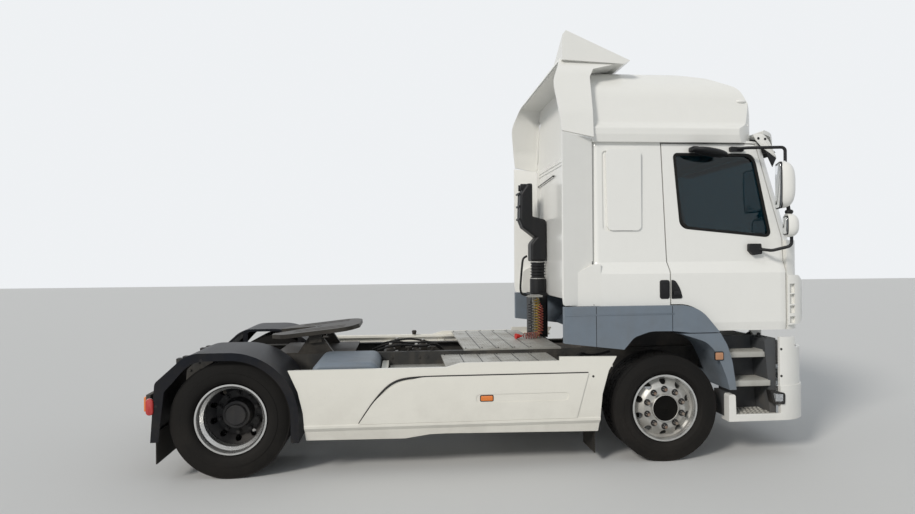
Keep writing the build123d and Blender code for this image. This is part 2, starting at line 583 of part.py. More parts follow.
# Kerb mirror over the door: height, half width, how far each end is drawn in
KERB_Y = -1240
KERB_REAR = 250
KERB_LENGTH = 330
kerb_faces = []
for z, half, drawn in ((2730, 50, 40), (2765, 100, 0), (2815, 80, 20), (2840, 50, 60)):
    rear_end, front_end = front(KERB_REAR) + drawn, front(KERB_REAR) + KERB_LENGTH - drawn
    rows = [(rear_end, KERB_Y - half, 15), (front_end, KERB_Y - half, 40), (front_end, KERB_Y + half, 40),
            (rear_end, KERB_Y + half, 15)]
    kerb_faces.append(outline(rows, lambda x, y: (x, y, z)))
kerb_mirror = loft(kerb_faces, ruled=True)
feet = lower_foot + upper_foot - outer
mirror_arms = (lower_arm + upper_arm + link_arm + feet) - mirror_head - small_head
nodes["mirrors_right"] = Compound(children=[mirror_head.solid(), small_head.solid()])
nodes["mirror_arms_right"] = mirror_arms
kerb_arm = box((front(380), front(440)), (-1180, -1100), (2805, 2850)) - outer
nodes["kerb_mirror"] = (kerb_mirror - outer) + kerb_arm

# High roof cap
RIM_HALF = CAB_HALF_TOP + 45


def roof_front_rows(inset, low):
    """High roof seen from the front."""
    right = [(-RIM_HALF + 12 + inset, low), (-RIM_HALF + inset, CAB_TOP_Z + 45),
             (-RIM_HALF + inset, CAB_TOP_Z + 105, 25), (-CAB_HALF_TOP + 8 + inset, CAB_TOP_Z + 155, 60),
             (-CAB_HALF_TOP + 80 + inset, CAB_TOP_Z + 495, 300),
             (-CAB_HALF_TOP + 290, CAB_TOP_Z + 695 - inset, 260)]
    left = [(-y, *rest) for y, *rest in reversed(right)]
    return right + [(0, CAB_TOP_Z + 745 - inset, 3000)] + left


def roof_plan_rows(inset):
    """High roof seen from above."""
    nose = ROOF_FRONT - inset
    edge = RIM_HALF + 35
    return shifted([(CAB_REAR - 40, -edge), (nose, -edge, 420 - inset), (nose, edge, 420 - inset),
                    (CAB_REAR - 40, edge)], FRONT_AXLE_X)


ROOF_WALL = 35
ROOF_FRONT = CAB_FRONT - SCREEN_RAKE - 65
ROOF_LOW_Z = CAB_TOP_Z - 23
ROOF_TOP_Z = CAB_TOP_Z + 720


def roof_form(inset, low):
    """High roof as the meeting of its side, front and plan outlines, set in from the skin."""
    nose = ROOF_FRONT - inset
    side = [(CAB_REAR + inset, low - 20), (CAB_REAR + inset, ROOF_TOP_Z - 65 - inset, 70),
            (-250, ROOF_TOP_Z - inset, 900), (200, ROOF_TOP_Z - 25 - inset, 900),
            (nose - 425 + inset, ROOF_TOP_Z - 90 - inset, 300), (nose - 185, ROOF_TOP_Z - 205 - inset, 140),
            (nose - 80, CAB_TOP_Z + 275, 300), (nose + 15, CAB_TOP_Z + 105, 60), (nose + 15, low - 20)]
    form = along_y(shifted(side, FRONT_AXLE_X), -1250, 1250)
    form &= along_x(roof_front_rows(inset, low), front(-700), front(1100))
    return form & along_z(roof_plan_rows(inset), low - 40, ROOF_TOP_Z + 200)


cap_outer = roof_form(0, ROOF_LOW_Z)
cap = cap_outer - roof_form(ROOF_WALL, CAB_TOP_Z + 30)
cap -= box((front(-560), front(800)), (-CAB_HALF_TOP + 140, CAB_HALF_TOP - 140),
           (CAB_TOP_Z - 20, CAB_TOP_Z + 40))
cap -= outer
nodes["high_roof"] = cap

# Sun visor across the front of the roof
visor_z = CAB_TOP_Z + 105
visor = along_y(shifted([(ROOF_FRONT, visor_z, 20), (ROOF_FRONT + 125, visor_z - 25, 30),
                         (ROOF_FRONT + 240, visor_z - 210, 12), (ROOF_FRONT + 210, visor_z - 210),
                         (ROOF_FRONT + 100, visor_z - 55, 30), (ROOF_FRONT, visor_z - 40)], FRONT_AXLE_X),
                -RIM_HALF + 35, RIM_HALF - 35)
visor &= along_z(shifted([(600, -RIM_HALF + 35), (ROOF_FRONT + 205, -RIM_HALF + 35, 300),
                          (ROOF_FRONT + 240, 0, 3000),
                          (ROOF_FRONT + 205, RIM_HALF - 35, 300), (600, RIM_HALF - 35)], FRONT_AXLE_X),
                 visor_z - 310, visor_z + 90)
nodes["sun_visor"] = visor

# Roof deflector with its side pieces, and the flap on top
DEFLECTOR_WALL = 30
deflector_side = shifted([(CAB_REAR - 282, CAB_TOP_Z + 67), (CAB_REAR - 338, CAB_TOP_Z + 535, 300),
                          (CAB_REAR - 240, ROOF_TOP_Z + 65), (-300, ROOF_TOP_Z + 15), (-600, ROOF_TOP_Z - 65),
                          (CAB_REAR, ROOF_TOP_Z - 145), (CAB_REAR, CAB_TOP_Z + 10)], FRONT_AXLE_X)


def deflector_front_rows(inset):
    """Deflector seen from the front: its sides lean in towards the top."""
    right = [(-RIM_HALF - 40 + inset, CAB_TOP_Z - 25), (-RIM_HALF - 15 + inset, CAB_TOP_Z + 245, 400),
             (-RIM_HALF + 90 + inset, ROOF_TOP_Z - 65, 250), (-RIM_HALF + 205, ROOF_TOP_Z + 65 - inset, 120)]
    return right + [(-y, *rest) for y, *rest in reversed(right)]


deflector = along_y(deflector_side, -1250, 1250) & along_x(deflector_front_rows(0), front(-1000), front(-200))
deflector -= along_x(deflector_front_rows(DEFLECTOR_WALL), front(-1000), front(CAB_REAR))
flap_sections = []
for y, rear_top in ((-RIM_HALF + 125, ROOF_TOP_Z + 293), (-700, ROOF_TOP_Z + 110),
                    (RIM_HALF - 145, ROOF_TOP_Z + 100)):
    rows = shifted([(CAB_REAR - 202, rear_top), (CAB_REAR - 235, rear_top - 40),
                    (CAB_REAR - 240, ROOF_TOP_Z + 25),
                    (-300, ROOF_TOP_Z - 5), (-240, ROOF_TOP_Z + 27)], FRONT_AXLE_X)
    flap_sections.append(outline(rows, lambda x, z: (x, y, z)))
flap = loft(flap_sections, ruled=True)
nodes["roof_deflector"] = (deflector + flap) - cap_outer

# Side extenders behind the cab
extender_root = CAB_HALF_BELT - 2
extender_plan = shifted([(CAB_REAR, -extender_root), (CAB_REAR - 300, -extender_root - 84, 10),
                         (CAB_REAR - 300, -extender_root - 54), (CAB_REAR - 30, -extender_root + 43),
                         (CAB_REAR - 30, -extender_root + 98), (CAB_REAR, -extender_root + 98)], FRONT_AXLE_X)
extender = along_z(extender_plan, REAR_FLOOR_Z + 10, CAB_TOP_Z + 70)
extender &= along_y(shifted([(CAB_REAR, REAR_FLOOR_Z + 10), (CAB_REAR - 288, REAR_FLOOR_Z + 10, 20),
                             (CAB_REAR - 298, REAR_FLOOR_Z + 95), (CAB_REAR - 290, CAB_TOP_Z + 55),
                             (CAB_REAR, CAB_TOP_Z)], FRONT_AXLE_X), -1300, -1000)
# Wider piece that carries on the lower cab side
wide = along_y(shifted([(CAB_REAR + 60, REAR_FLOOR_Z + 2), (CAB_REAR - 222, REAR_FLOOR_Z + 2, 20),
                        (CAB_REAR - 205, BELT_LOW_Z - 10, 60), (CAB_REAR, BELT_HIGH_Z - 15),
                        (CAB_REAR + 60, BELT_HIGH_Z - 15)],
                       FRONT_AXLE_X), -CAB_HALF_LOW, -CAB_HALF_LOW + 75)
extender += wide - outer
nodes["side_extenders"] = pair(extender)

# Arch trims on the cab, and the lower arches on the chassis
ARCH_OUTER_Y = -1248
ARCH_FACE = 68
ARCH_INNER_Y = -800
ARCH_SKIN = 25
ARCH_RADIUS = 705
TRIM_REAR = -930


trim = along_y(shifted([(TRIM_REAR, 1085), (-395, 1022), (-300, 1130, 120), (-150, 1180, 300),
                        (60, 1178, 300), (215, 1160),
                        (492, 1160), (ARCH_CORNER_X, REAR_FLOOR_Z, ARCH_CORNER_RADIUS),
                        (TRIM_REAR, REAR_FLOOR_Z)],
                       FRONT_AXLE_X), ARCH_OUTER_Y, ARCH_OUTER_Y + ARCH_FACE)
trim += along_y(shifted([(-395, 1022), (-300, 1130, 120), (-150, 1180, 300), (60, 1178, 300), (215, 1160),
                         (260, 1160),
                         (75, 1205, 300), (-160, 1206, 300), (-320, 1150, 120), (-420, 1035)], FRONT_AXLE_X),
                ARCH_OUTER_Y + ARCH_FACE - 1, ARCH_INNER_Y)
trim += box((front(-300), front(-100)), (-1150, -900), (1190, REAR_FLOOR_Z))
nodes["arch_trims"] = pair(trim)

lower_rows = [(130, 1152), (361, 1076, 200), (437, 999, 200), (502, 869, 300), (549, 749, 300), (576, 640),
              (640, 640), (604, 890, 300), (559, 1041, 200), (495, 1152)]
lower_arch = along_y(shifted(lower_rows, FRONT_AXLE_X), ARCH_OUTER_Y, ARCH_OUTER_Y + ARCH_FACE)
inner_rows = [(200, 1130), (361, 1076, 200), (437, 999, 200), (502, 869, 300), (549, 749, 300), (576, 640),
              (606, 640), (578, 760, 300), (530, 885, 300), (462, 1020, 200), (375, 1105, 200), (230, 1152)]
lower_arch += along_y(shifted(inner_rows, FRONT_AXLE_X), ARCH_OUTER_Y + ARCH_FACE - 1, ARCH_INNER_Y)
lower_arch += box((front(575), front(620)), (ARCH_INNER_Y - 10, -half_frame), (690, 730))
nodes["lower_arches"] = pair(lower_arch)

# Front panel around the grille lid, and the lid
LID_HALF = 790
LID_TOP = 1850
LID_ROLL = 22
PANEL_FRONT = 1360
NOSE_FRONT = 1408
PANEL_REAR = DOOR_FRONT_LOW + DOOR_GAP
panel_half = CAB_HALF_LOW - 4
vane_half = CAB_HALF_LOW + 6
panel_rows = shifted([(900, -panel_half), (PANEL_FRONT, -panel_half, 245), (PANEL_FRONT, panel_half, 245),
                      (900, panel_half)], FRONT_AXLE_X)
vane_rows = shifted([(900, -vane_half), (NOSE_FRONT, -vane_half, 218), (NOSE_FRONT, vane_half, 218),
                     (900, vane_half)], FRONT_AXLE_X)
panel = along_z(panel_rows, FLOOR_Z, SCREEN_BASE_Z)
# In side view the vane's outline ends past its own front face, so that only the rounded corners cut it
VANE_TOP = 1665
VANE_PAST = 4
vane_side = shifted([(900, 1195), (1300, 1215, 60), (NOSE_FRONT + VANE_PAST, 1320, 120),
                     (NOSE_FRONT + VANE_PAST, 1560, 120), (1290, VANE_TOP, 70), (900, VANE_TOP)], FRONT_AXLE_X)
panel += along_z(vane_rows, FLOOR_Z + 20, VANE_TOP + 10) & along_y(vane_side, -1300, 1300)
panel &= box((front(PANEL_REAR), front(NOSE_FRONT + 10)), (-1300, 1300), (FLOOR_Z, SCREEN_BASE_Z))
panel -= cab_form(0)
panel -= box((front(CAB_FRONT - 250), front(NOSE_FRONT + 20)), (-LID_HALF - PANEL_GAP, LID_HALF + PANEL_GAP),
             (FLOOR_Z - 20, LID_TOP + PANEL_GAP))
for low, high in ((1225, 1285), (1315, 1385), (1400, 1490), (1500, 1585)):
    for side in (-1, 1):
        panel -= box((front(1190), front(1245)), sorted((side * 1150, side * 1250)), (low, high))
nodes["front_panel"] = panel
lid = box((front(CAB_FRONT + 55), front(NOSE_FRONT)), (-LID_HALF, LID_HALF), (FLOOR_Z + 5, LID_TOP))
lid = fillet(lid.edges().filter_by(Axis.Y).group_by(Axis.X)[-1], LID_ROLL)
GRILLE_BARS = 6
slot_height = 48
for i in range(GRILLE_BARS):
    low = 1270 + i * 88
    lid -= box((front(CAB_FRONT), front(NOSE_FRONT + 10)), (-640, 640), (low, low + slot_height))
nodes["grille_lid"] = lid

# Cab furniture seen through the glass
dash = along_y(shifted([(960, 1640, 40), (1210, 1640), (1210, 1960, 40), (1120, 1975, 40), (940, 1890, 60)],
                       FRONT_AXLE_X), -1050, 1050)
wheel_turn = Pos(front(830), 560, 1900) * Rot(0, 30, 0)
dash += wheel_turn * Torus(215, 15)
dash += wheel_turn * Box(420, 40, 16)
dash += wheel_turn * Cylinder(55, 40)
dash += wheel_turn * Pos(0, 0, -120) * Cylinder(35, 240)
dash += box((front(880), front(990)), (520, 600), (1700, 1830))
nodes["dashboard"] = dash & inner
seat_rows = [(120, 1480), (620, 1480), (640, 1700, 60), (620, 1820, 50), (200, 1790, 60), (60, 2480, 60),
             (-70, 2480, 60), (90, 1760, 60)]
seat = along_y(shifted(seat_rows, FRONT_AXLE_X), -880, -380)
seat += box((front(180), front(280)), (-780, -480), (REAR_FLOOR_Z + FLOOR_THICKNESS, 1490))
nodes["seats"] = pair(seat)
bunk = box((front(CAB_REAR + CAB_WALL), front(-130)), (-1040, 1040), (1700, 1850))
bunk += box((front(CAB_REAR + CAB_WALL), front(-150)), (-1000, 1000), (REAR_FLOOR_Z + FLOOR_THICKNESS, 1700))
nodes["bunk"] = bunk & cavity

# Air intake: upper duct on the cab's rear wall, filter and bellows on the chassis
BELLOWS_COUNT = 6
BELLOWS_TOP = 1795
duct_rows = [(-775, 2080), (-930, 2200, 40), (-965, 2290, 60), (-955, 2600, 40), (-870, 2720, 30),
             (-810, 2720, 20), (-810, 2330, 20), (CAB_REAR - 10, 2290, 40),
             (CAB_REAR - 10, BELLOWS_TOP + 5, 20), (-835, BELLOWS_TOP + 5, 20), (-835, 2010, 60)]
duct = along_y(shifted(duct_rows, FRONT_AXLE_X), 640, 860)
duct = fillet(duct.edges().filter_by(Axis.Z), 30)
# Two lobes side by side: a groove down the duct's rear
duct -= box((front(-975), front(-930)), (738, 762), (2230, 2650))
duct += box((front(CAB_REAR - 15), front(CAB_REAR)), (690, 810), (2020, 2240))
nodes["intake_duct"] = duct
BELLOWS_PITCH = 34
bellows_low = BELLOWS_TOP - BELLOWS_COUNT * BELLOWS_PITCH
filter_body = rod_z(front(-735), 750, (1410, bellows_low), 95)
bellows_rows = [(0, bellows_low - 1), (76, bellows_low - 1)]
for i in range(BELLOWS_COUNT):
    low = bellows_low + i * BELLOWS_PITCH
    bellows_rows += [(76, low + 6), (92, low + 17, 5), (76, low + 28)]
bellows_rows += [(76, BELLOWS_TOP), (0, BELLOWS_TOP)]
filter_body += turned_z(bellows_rows, front(-735), 750)
filter_body += fillet(box((front(-860), front(-660)), (540, 850),
                          (FRAME_TOP, 1430)).edges().filter_by(Axis.Z), 40)
filter_body += box((front(-860), front(-700)), (half_frame, 850), (FRAME_TOP - 50, FRAME_TOP))
filter_body += box((front(-850), front(-710)), (600, 840), (FRAME_TOP - 20, FRAME_TOP + 20))
nodes["air_filter"] = filter_body

# Side skirts
SKIRT_Y = -1245
SKIRT_WALL = 25
SKIRT_GAP = 463
skirt_end = WHEELBASE - SKIRT_GAP
skirt_rows = [(479, 902), (1824, 900), (1950, 937), (skirt_end - 514, 937), (skirt_end - 514, 972),
              (skirt_end, 965),
              (skirt_end - 73, 841), (skirt_end - 131, 638), (skirt_end - 166, 301), (1819, 325), (1680, 322),
              (1464, 290), (624, 300), (603, 539), (560, 723)]
skirt = along_x([(SKIRT_Y, 430), (SKIRT_Y, 2000), (SKIRT_Y + SKIRT_WALL, 2000), (SKIRT_Y + SKIRT_WALL, 435),
                 (SKIRT_Y + 65, 280), (SKIRT_Y + 40, 280)],
                rear(400), front(-400))
skirt &= along_y(shifted(skirt_rows, REAR_AXLE_X), -1300, -1000)
raised = along_y(shifted([(1069, 433), (1255, 700, 500), (1560, 824, 600), (skirt_end - 257, 824),
                          (skirt_end - 367, 433)], REAR_AXLE_X), SKIRT_Y - 9, SKIRT_Y + 2)
channel = along_y(shifted([(2080, 661, 33), (2900, 661, 33), (2900, 590, 33), (2080, 590, 33)], REAR_AXLE_X),
                  SKIRT_Y - 20, SKIRT_Y - 4)
skirt += raised - channel
# Ledge along the turned-in lower edge
ledge_rows = [(SKIRT_Y - 9, 408), (SKIRT_Y - 9, 428, 4), (SKIRT_Y + 6, 440), (SKIRT_Y + 14, 420),
              (SKIRT_Y + 12, 380)]
ledge = along_x(ledge_rows, rear(400), front(-400))
skirt += ledge & along_y(shifted(skirt_rows, REAR_AXLE_X), -1300, -1000)
skirt += box((rear(520), front(-500)), (SKIRT_Y + 5, SKIRT_Y + 70), (872, 896))
for x in (rear(1255), rear(1900), front(-900)):
    skirt += box((x, x + 60), (SKIRT_Y + SKIRT_WALL - 2, -half_frame), (800, 840))
nodes["side_skirts"] = pair(skirt)

# Boxes and tanks beside the frame
battery = box((rear(660), rear(1240)), (-1150, -half_frame), (480, 940))
battery = fillet(battery.edges().filter_by(Axis.Y).group_by(Axis.Z)[-1], 85)
battery = fillet(battery.edges().filter_by(Axis.X).group_by(Axis.Z)[-1].group_by(Axis.Y)[0], 40)
nodes["battery_box"] = battery
exhaust = box((rear(1330), front(-920)), (-1190, -half_frame), (360, 795))
exhaust = fillet(exhaust.edges().filter_by(Axis.X).group_by(Axis.Y)[0], 60)
exhaust += box((rear(1830), front(-910)), (-1170, -half_frame), (870, 886))
for x in (rear(1860), front(-1000)):
    exhaust += box((x, x + 30), (-1150, -half_frame), (795, 870))
nodes["exhaust_box"] = exhaust
tank = box((rear(1250), front(-920)), (half_frame, 1180), (330, 790))
tank = fillet(tank.edges().filter_by(Axis.X), 90)
for x in (rear(1500), front(-1250)):
    strap = box((x, x + 60), (half_frame - 0, 1186), (324, 796))
    strap = fillet(strap.edges().filter_by(Axis.X), 93)
    tank += strap
tank += rod_z(front(-1050), 1040, (785, 830), 45)
nodes["fuel_tank"] = tank

# Catwalk and fifth wheel
catwalk = box((rear(2060), front(-900)), (-half_frame, 1180), (FRAME_TOP, FRAME_TOP + 16))
catwalk += box((front(-901), front(-750)), (-half_frame, 525), (FRAME_TOP, FRAME_TOP + 16))
# Post that holds the upper ends of the curly lines
catwalk += box((front(-860), front(-780)), (480, 500), (FRAME_TOP + 15, 1420))
catwalk += box((front(-940), front(-780)), (300, 500), (1400, 1420))
nodes["catwalk"] = catwalk
FIFTH_X = 600
FIFTH_PIVOT_Z = 1065
mount = box((rear(FIFTH_X - 380), rear(FIFTH_X + 380)), (-half_frame, half_frame),
            (FRAME_TOP, FRAME_TOP + 12))
for side in (-1, 1):
    block = along_y(shifted([(FIFTH_X - 170, FRAME_TOP + 12), (FIFTH_X + 170, FRAME_TOP + 12),
                             (FIFTH_X + 60, FIFTH_PIVOT_Z + 30, 50),
                             (FIFTH_X - 60, FIFTH_PIVOT_Z + 30, 50)], REAR_AXLE_X),
                             *sorted((side * 330, side * 390)))
    block += rod_y(rear(FIFTH_X), sorted((side * 390, side * 425)), FIFTH_PIVOT_Z, 25)
    mount += block
nodes["fifth_wheel_base"] = mount
plate_tilt = Pos(rear(FIFTH_X), 0, FIFTH_PIVOT_Z) * Rot(0, -6, 0) * Pos(-rear(FIFTH_X), 0, -FIFTH_PIVOT_Z)
PLATE_TOP = FIFTH_PIVOT_Z + 85
plate = along_z(shifted([(FIFTH_X - 430, -300, 30), (FIFTH_X - 300, -480, 120), (FIFTH_X + 330, -480, 200),
                         (FIFTH_X + 430, -250, 100),
                         (FIFTH_X + 430, 250, 100), (FIFTH_X + 330, 480, 200), (FIFTH_X - 300, 480, 120),
                         (FIFTH_X - 430, 300, 30),
                         (FIFTH_X - 430, 200), (FIFTH_X - 60, 45), (FIFTH_X - 60, -45),
                         (FIFTH_X - 430, -200)], REAR_AXLE_X),
                PLATE_TOP - 40, PLATE_TOP)
plate += rod_z(rear(FIFTH_X), 0, (PLATE_TOP - 90, PLATE_TOP - 2), 110)
KINGPIN_HOLE = 26
JAW_WALL = 16
plate -= rod_z(rear(FIFTH_X), 0, (PLATE_TOP - 100, PLATE_TOP + 10), KINGPIN_HOLE)
plate -= box((rear(FIFTH_X - 200), rear(FIFTH_X - KINGPIN_HOLE - JAW_WALL)), (-KINGPIN_HOLE, KINGPIN_HOLE),
             (PLATE_TOP - 100, PLATE_TOP + 10))
for side in (-1, 1):
    ear = box((rear(FIFTH_X - 60), rear(FIFTH_X + 60)), sorted((side * 396, side * 420)),
              (FIFTH_PIVOT_Z - 35, PLATE_TOP - 20))
    ear -= rod_y(rear(FIFTH_X), sorted((side * 380, side * 440)), FIFTH_PIVOT_Z, 25 + RUNNING_FIT)
    plate += ear
nodes["fifth_wheel_plate"] = plate_tilt * plate

# Rear mudguards and lamps
GUARD_RADIUS = 572
GUARD_WALL = 28
GUARD_OUTER_Y = -1268
GUARD_INNER_Y = -560
LIP_RADIUS = 506
FLAP_THICKNESS = 10
crown = rear_z + GUARD_RADIUS
front_leg = (GUARD_RADIUS, 300)
rear_leg = (-632, 340)
guard_outer = [front_leg, (GUARD_RADIUS, crown, GUARD_RADIUS), (-330, crown, 260), (-596, 830, 60), rear_leg]
guard_inner = [(rear_leg[0] + GUARD_WALL, rear_leg[1]), (-596 + GUARD_WALL, 820, 50),
               (-322, crown - GUARD_WALL, 240),
               (GUARD_RADIUS - GUARD_WALL, crown - GUARD_WALL, GUARD_RADIUS - GUARD_WALL),
               (GUARD_RADIUS - GUARD_WALL, 300)]
lip_inner = [(-572, 340), (-520, 760, 60), (-300, rear_z + LIP_RADIUS, 240),
             (LIP_RADIUS, rear_z + LIP_RADIUS, LIP_RADIUS), (LIP_RADIUS, 300)]
guard = along_y(shifted(guard_outer + guard_inner, REAR_AXLE_X), GUARD_OUTER_Y, GUARD_INNER_Y)
guard += along_y(shifted(guard_outer + lip_inner, REAR_AXLE_X), GUARD_OUTER_Y - 10, GUARD_OUTER_Y + 12)
guard_edge = along_y(shifted(guard_outer, REAR_AXLE_X), GUARD_INNER_Y - 15, GUARD_INNER_Y)
for x in (-300, 300):
    across = (rear(x - 25), rear(x + 25))
    guard += box(across, (GUARD_INNER_Y - 15, -half_frame), (FRAME_TOP - 60, FRAME_TOP - 25))
    guard += box(across, (GUARD_INNER_Y - 15, GUARD_INNER_Y), (FRAME_TOP - 60, crown + 10)) & guard_edge
nodes["rear_mudguards"] = pair(guard)
flap_x = rear(rear_leg[0]) + GUARD_WALL + 8
rear_flap = box((flap_x, flap_x + FLAP_THICKNESS), (GUARD_OUTER_Y + 16, GUARD_INNER_Y - 60), (155, 420))
flap_x = front(-652)
front_flap = box((flap_x, flap_x + FLAP_THICKNESS), (SKIRT_Y + 75, -820), (95, 700))
front_flap += box((flap_x, flap_x + FLAP_THICKNESS), (-825, -half_frame), (690, 730))
flaps = [rear_flap.solid(), other_side(rear_flap).solid(), front_flap.solid(), other_side(front_flap).solid()]
nodes["mud_flaps"] = Compound(children=flaps)
LAMP_RECESS = 25
lamp_bar = box((REAR_X, REAR_X + 40), (-825, 825), (560, 640))
for side in (-1, 1):
    lamp_bar += box((REAR_X + LAMP_RECESS, REAR_X + 60), sorted((side * 820, side * 1190)), (560, 720))
    lamp_bar += box((REAR_X, REAR_X + 60), sorted((side * (half_frame - RAIL_FLANGE), side * half_frame)),
                    (560, 900))
nodes["rear_lamps"] = lamp_bar

# Bumper with lamps and steps
BUMPER_HALF = 1215
BUMPER_CORNER = 325
BUMPER_WALL = 40
STEP_REAR = 585


def bumper_rows(inset):
    """Bumper seen from above, set in from its outer face."""
    half, tip, corner = BUMPER_HALF - inset, FRONT_OVERHANG - inset, BUMPER_CORNER - inset
    return shifted([(1075, -half), (tip, -half, corner), (tip, half, corner), (1075, half)], FRONT_AXLE_X)


BUMPER_TOP = 1000
BUMPER_SHOULDER = 655
SHOULDER_STEP = 10
BUMPER_LOW = 345
POST_TOP = 1100
bumper = along_z(bumper_rows(0), BUMPER_LOW, BUMPER_SHOULDER)
bumper += along_z(bumper_rows(SHOULDER_STEP), BUMPER_SHOULDER - 5, BUMPER_TOP)
bumper -= along_z(bumper_rows(BUMPER_WALL), BUMPER_LOW - 5, BUMPER_TOP + 5)
corner_post = along_z(bumper_rows(SHOULDER_STEP), BUMPER_TOP - 5, POST_TOP)
corner_post -= along_z(bumper_rows(BUMPER_WALL), BUMPER_TOP - 5, POST_TOP + 5)
corner_post &= box((front(1075), front(1245)), (-1300, -1060), (BUMPER_TOP - 5, POST_TOP))
bumper += corner_post
bumper += other_side(corner_post)
lamp_cut = box((front(1180), front(FRONT_OVERHANG + 10)), (-1010, -640), (560, 770))
bumper -= lamp_cut
bumper -= other_side(lamp_cut)
bumper -= box((front(1300), front(FRONT_OVERHANG + 10)), (-560, 560), (420, 620))
for side in (-1, 1):
    bumper += box((front(RAIL_FRONT), front(FRONT_OVERHANG - 20)), sorted((side * 330, side * 390)),
                  (700, 860))
SILL_WALL = 25
sill = along_x([(-BUMPER_HALF, BUMPER_LOW), (-BUMPER_HALF, 408, 8), (-BUMPER_HALF + SILL_WALL, 408),
                (-BUMPER_HALF + SILL_WALL, 370), (-BUMPER_HALF + 140, 370), (-BUMPER_HALF + 140, BUMPER_LOW)],
               front(STEP_REAR), front(1080))
sill += along_y(shifted([(STEP_REAR, BUMPER_LOW), (STEP_REAR, 590, 20), (STEP_REAR + 62, 590, 20),
                         (STEP_REAR + 70, BUMPER_LOW)], FRONT_AXLE_X), -BUMPER_HALF, -BUMPER_HALF + 90)
bumper += sill
bumper += other_side(sill)
nodes["bumper"] = bumper
lamp = (along_z(bumper_rows(12), 345, 900) - along_z(bumper_rows(90), 340, 910)) & lamp_cut
nodes["headlamps"] = pair(lamp)

# Step wells: inner wall, three treads that come further out lower down, and a gusset in front
STEP_INNER_Y = -905
STEP_WALL = 25
step_front = 1070
steps = box((front(660), front(step_front)), (STEP_INNER_Y, STEP_INNER_Y + STEP_WALL), (371, 1085))
steps += box((front(STEP_REAR + 72), front(step_front)), (-BUMPER_HALF + SILL_WALL, STEP_INNER_Y), (371, 400))
steps += box((front(STEP_REAR + 15), front(STEP_REAR + 72)), (-BUMPER_HALF + 90, STEP_INNER_Y), (370, 590))
# Treads: outer edge, lower face, thickness, rear end
treads = [(-1165, 655, 45, 655), (-1130, 915, 42, 590)]
for edge, low, thick, start in treads:
    steps += along_x([(edge + 12, low), (edge, low + thick - 8), (edge + 6, low + thick),
                      (STEP_INNER_Y, low + thick), (STEP_INNER_Y, low)], front(start), front(step_front - 60))
gusset_rows = [(step_front, 371), (step_front, 1085), (step_front - 110, 1085, 30), (step_front - 75, 700, 200),
               (step_front - 60, 371)]
steps += along_y(shifted(gusset_rows, FRONT_AXLE_X), -1150, STEP_INNER_Y)
for x in (700, 880):
    steps += box((front(x), front(x + 60)), (STEP_INNER_Y + STEP_WALL - 1, -half_frame), (700, 780))
nodes["step_wells"] = pair(steps)

# Curly air and power lines behind the cab, each a fat tube, and the bracket that carries them
CURL_RADIUS = 36
LINE_BASE_Z = FRAME_TOP + 16
# Line: name, place from the front axle, across, height of its upper end, length laid on the catwalk
LINE_TABLE = [("curly_line_red", -800, 330, 1330, -230), ("curly_line_yellow", -815, 440, 1400, 0),
              ("curly_line_black", -900, 390, 1360, 0)]
for name, x, y, top, laid in LINE_TABLE:
    low = LINE_BASE_Z + CURL_RADIUS
    if laid:
        path = FilletPolyline((front(x), y, top), (front(x), y, low), (front(x + laid), y - 60, low), radius=100)
        nodes[name] = sweep(Plane(path @ 0, z_dir=path % 0) * Circle(CURL_RADIUS), path=path)
    else:
        nodes[name] = rod_z(front(x), y, (LINE_BASE_Z, top), CURL_RADIUS)

# Left-hand pieces
for side_node in ("front_rim", "front_tyre", "rear_rims", "rear_tyres", "knuckle", "door", "door_glass", "mirrors",
                  "mirror_arms"):
    solids = other_side(nodes[side_node + "_right"]).solids()
    nodes[side_node + "_left"] = Compound(children=list(solids)) if len(solids) > 1 else solids[0]

os.makedirs("parts", exist_ok=True)
for name, shape in nodes.items():
    export_step(shape, f"parts/{name}.step")
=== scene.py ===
"""Looks of a two-axle cab-over tractor unit, in metres, in the frame of its solids."""
import math

import bmesh
import bpy
from mathutils import Matrix, Vector


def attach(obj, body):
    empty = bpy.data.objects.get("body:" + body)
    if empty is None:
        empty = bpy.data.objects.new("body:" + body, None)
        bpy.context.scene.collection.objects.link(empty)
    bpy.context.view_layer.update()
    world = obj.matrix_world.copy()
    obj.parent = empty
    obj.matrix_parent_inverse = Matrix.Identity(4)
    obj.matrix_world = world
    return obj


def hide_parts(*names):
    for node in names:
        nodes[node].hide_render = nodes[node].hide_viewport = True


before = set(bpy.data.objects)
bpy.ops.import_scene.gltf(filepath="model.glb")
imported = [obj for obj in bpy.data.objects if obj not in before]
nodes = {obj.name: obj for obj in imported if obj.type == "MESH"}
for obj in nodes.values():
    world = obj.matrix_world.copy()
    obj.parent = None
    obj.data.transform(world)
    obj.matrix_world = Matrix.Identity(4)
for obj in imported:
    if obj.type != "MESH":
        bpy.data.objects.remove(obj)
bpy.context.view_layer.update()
scene = bpy.context.scene
scene.view_settings.view_transform = "Standard"

# Places that the solids share, in metres
SIDES = (("left", 1), ("right", -1))
FRONT_AXLE = 1.55
REAR_AXLE = -2.25
FRONT_HUB_Z = 0.480
REAR_HUB_Z = 0.497
FRONT_TYRE_Y = 1.025
REAR_TYRE_Y = 1.090
REAR_INNER_Y = 0.740
FRONT_HUB_FACE = 1.168
REAR_DISC_FACE = 0.929
SIDE_HEIGHTS = [1.165, 1.240, 1.690, 1.795, 1.985, 2.850, 2.905]
SIDE_HALVES = [1.168, 1.180, 1.180, 1.140, 1.135, 1.120, 1.110]
SIDE_FACE = 1.180
ARCH_FACE = 1.2475
SKIRT_FACE = 1.2400
VISOR_FACE = 1.118


def new_object(name, data):
    """Object put in the scene, at the origin."""
    made = bpy.data.objects.new(name, data)
    scene.collection.objects.link(made)
    return made


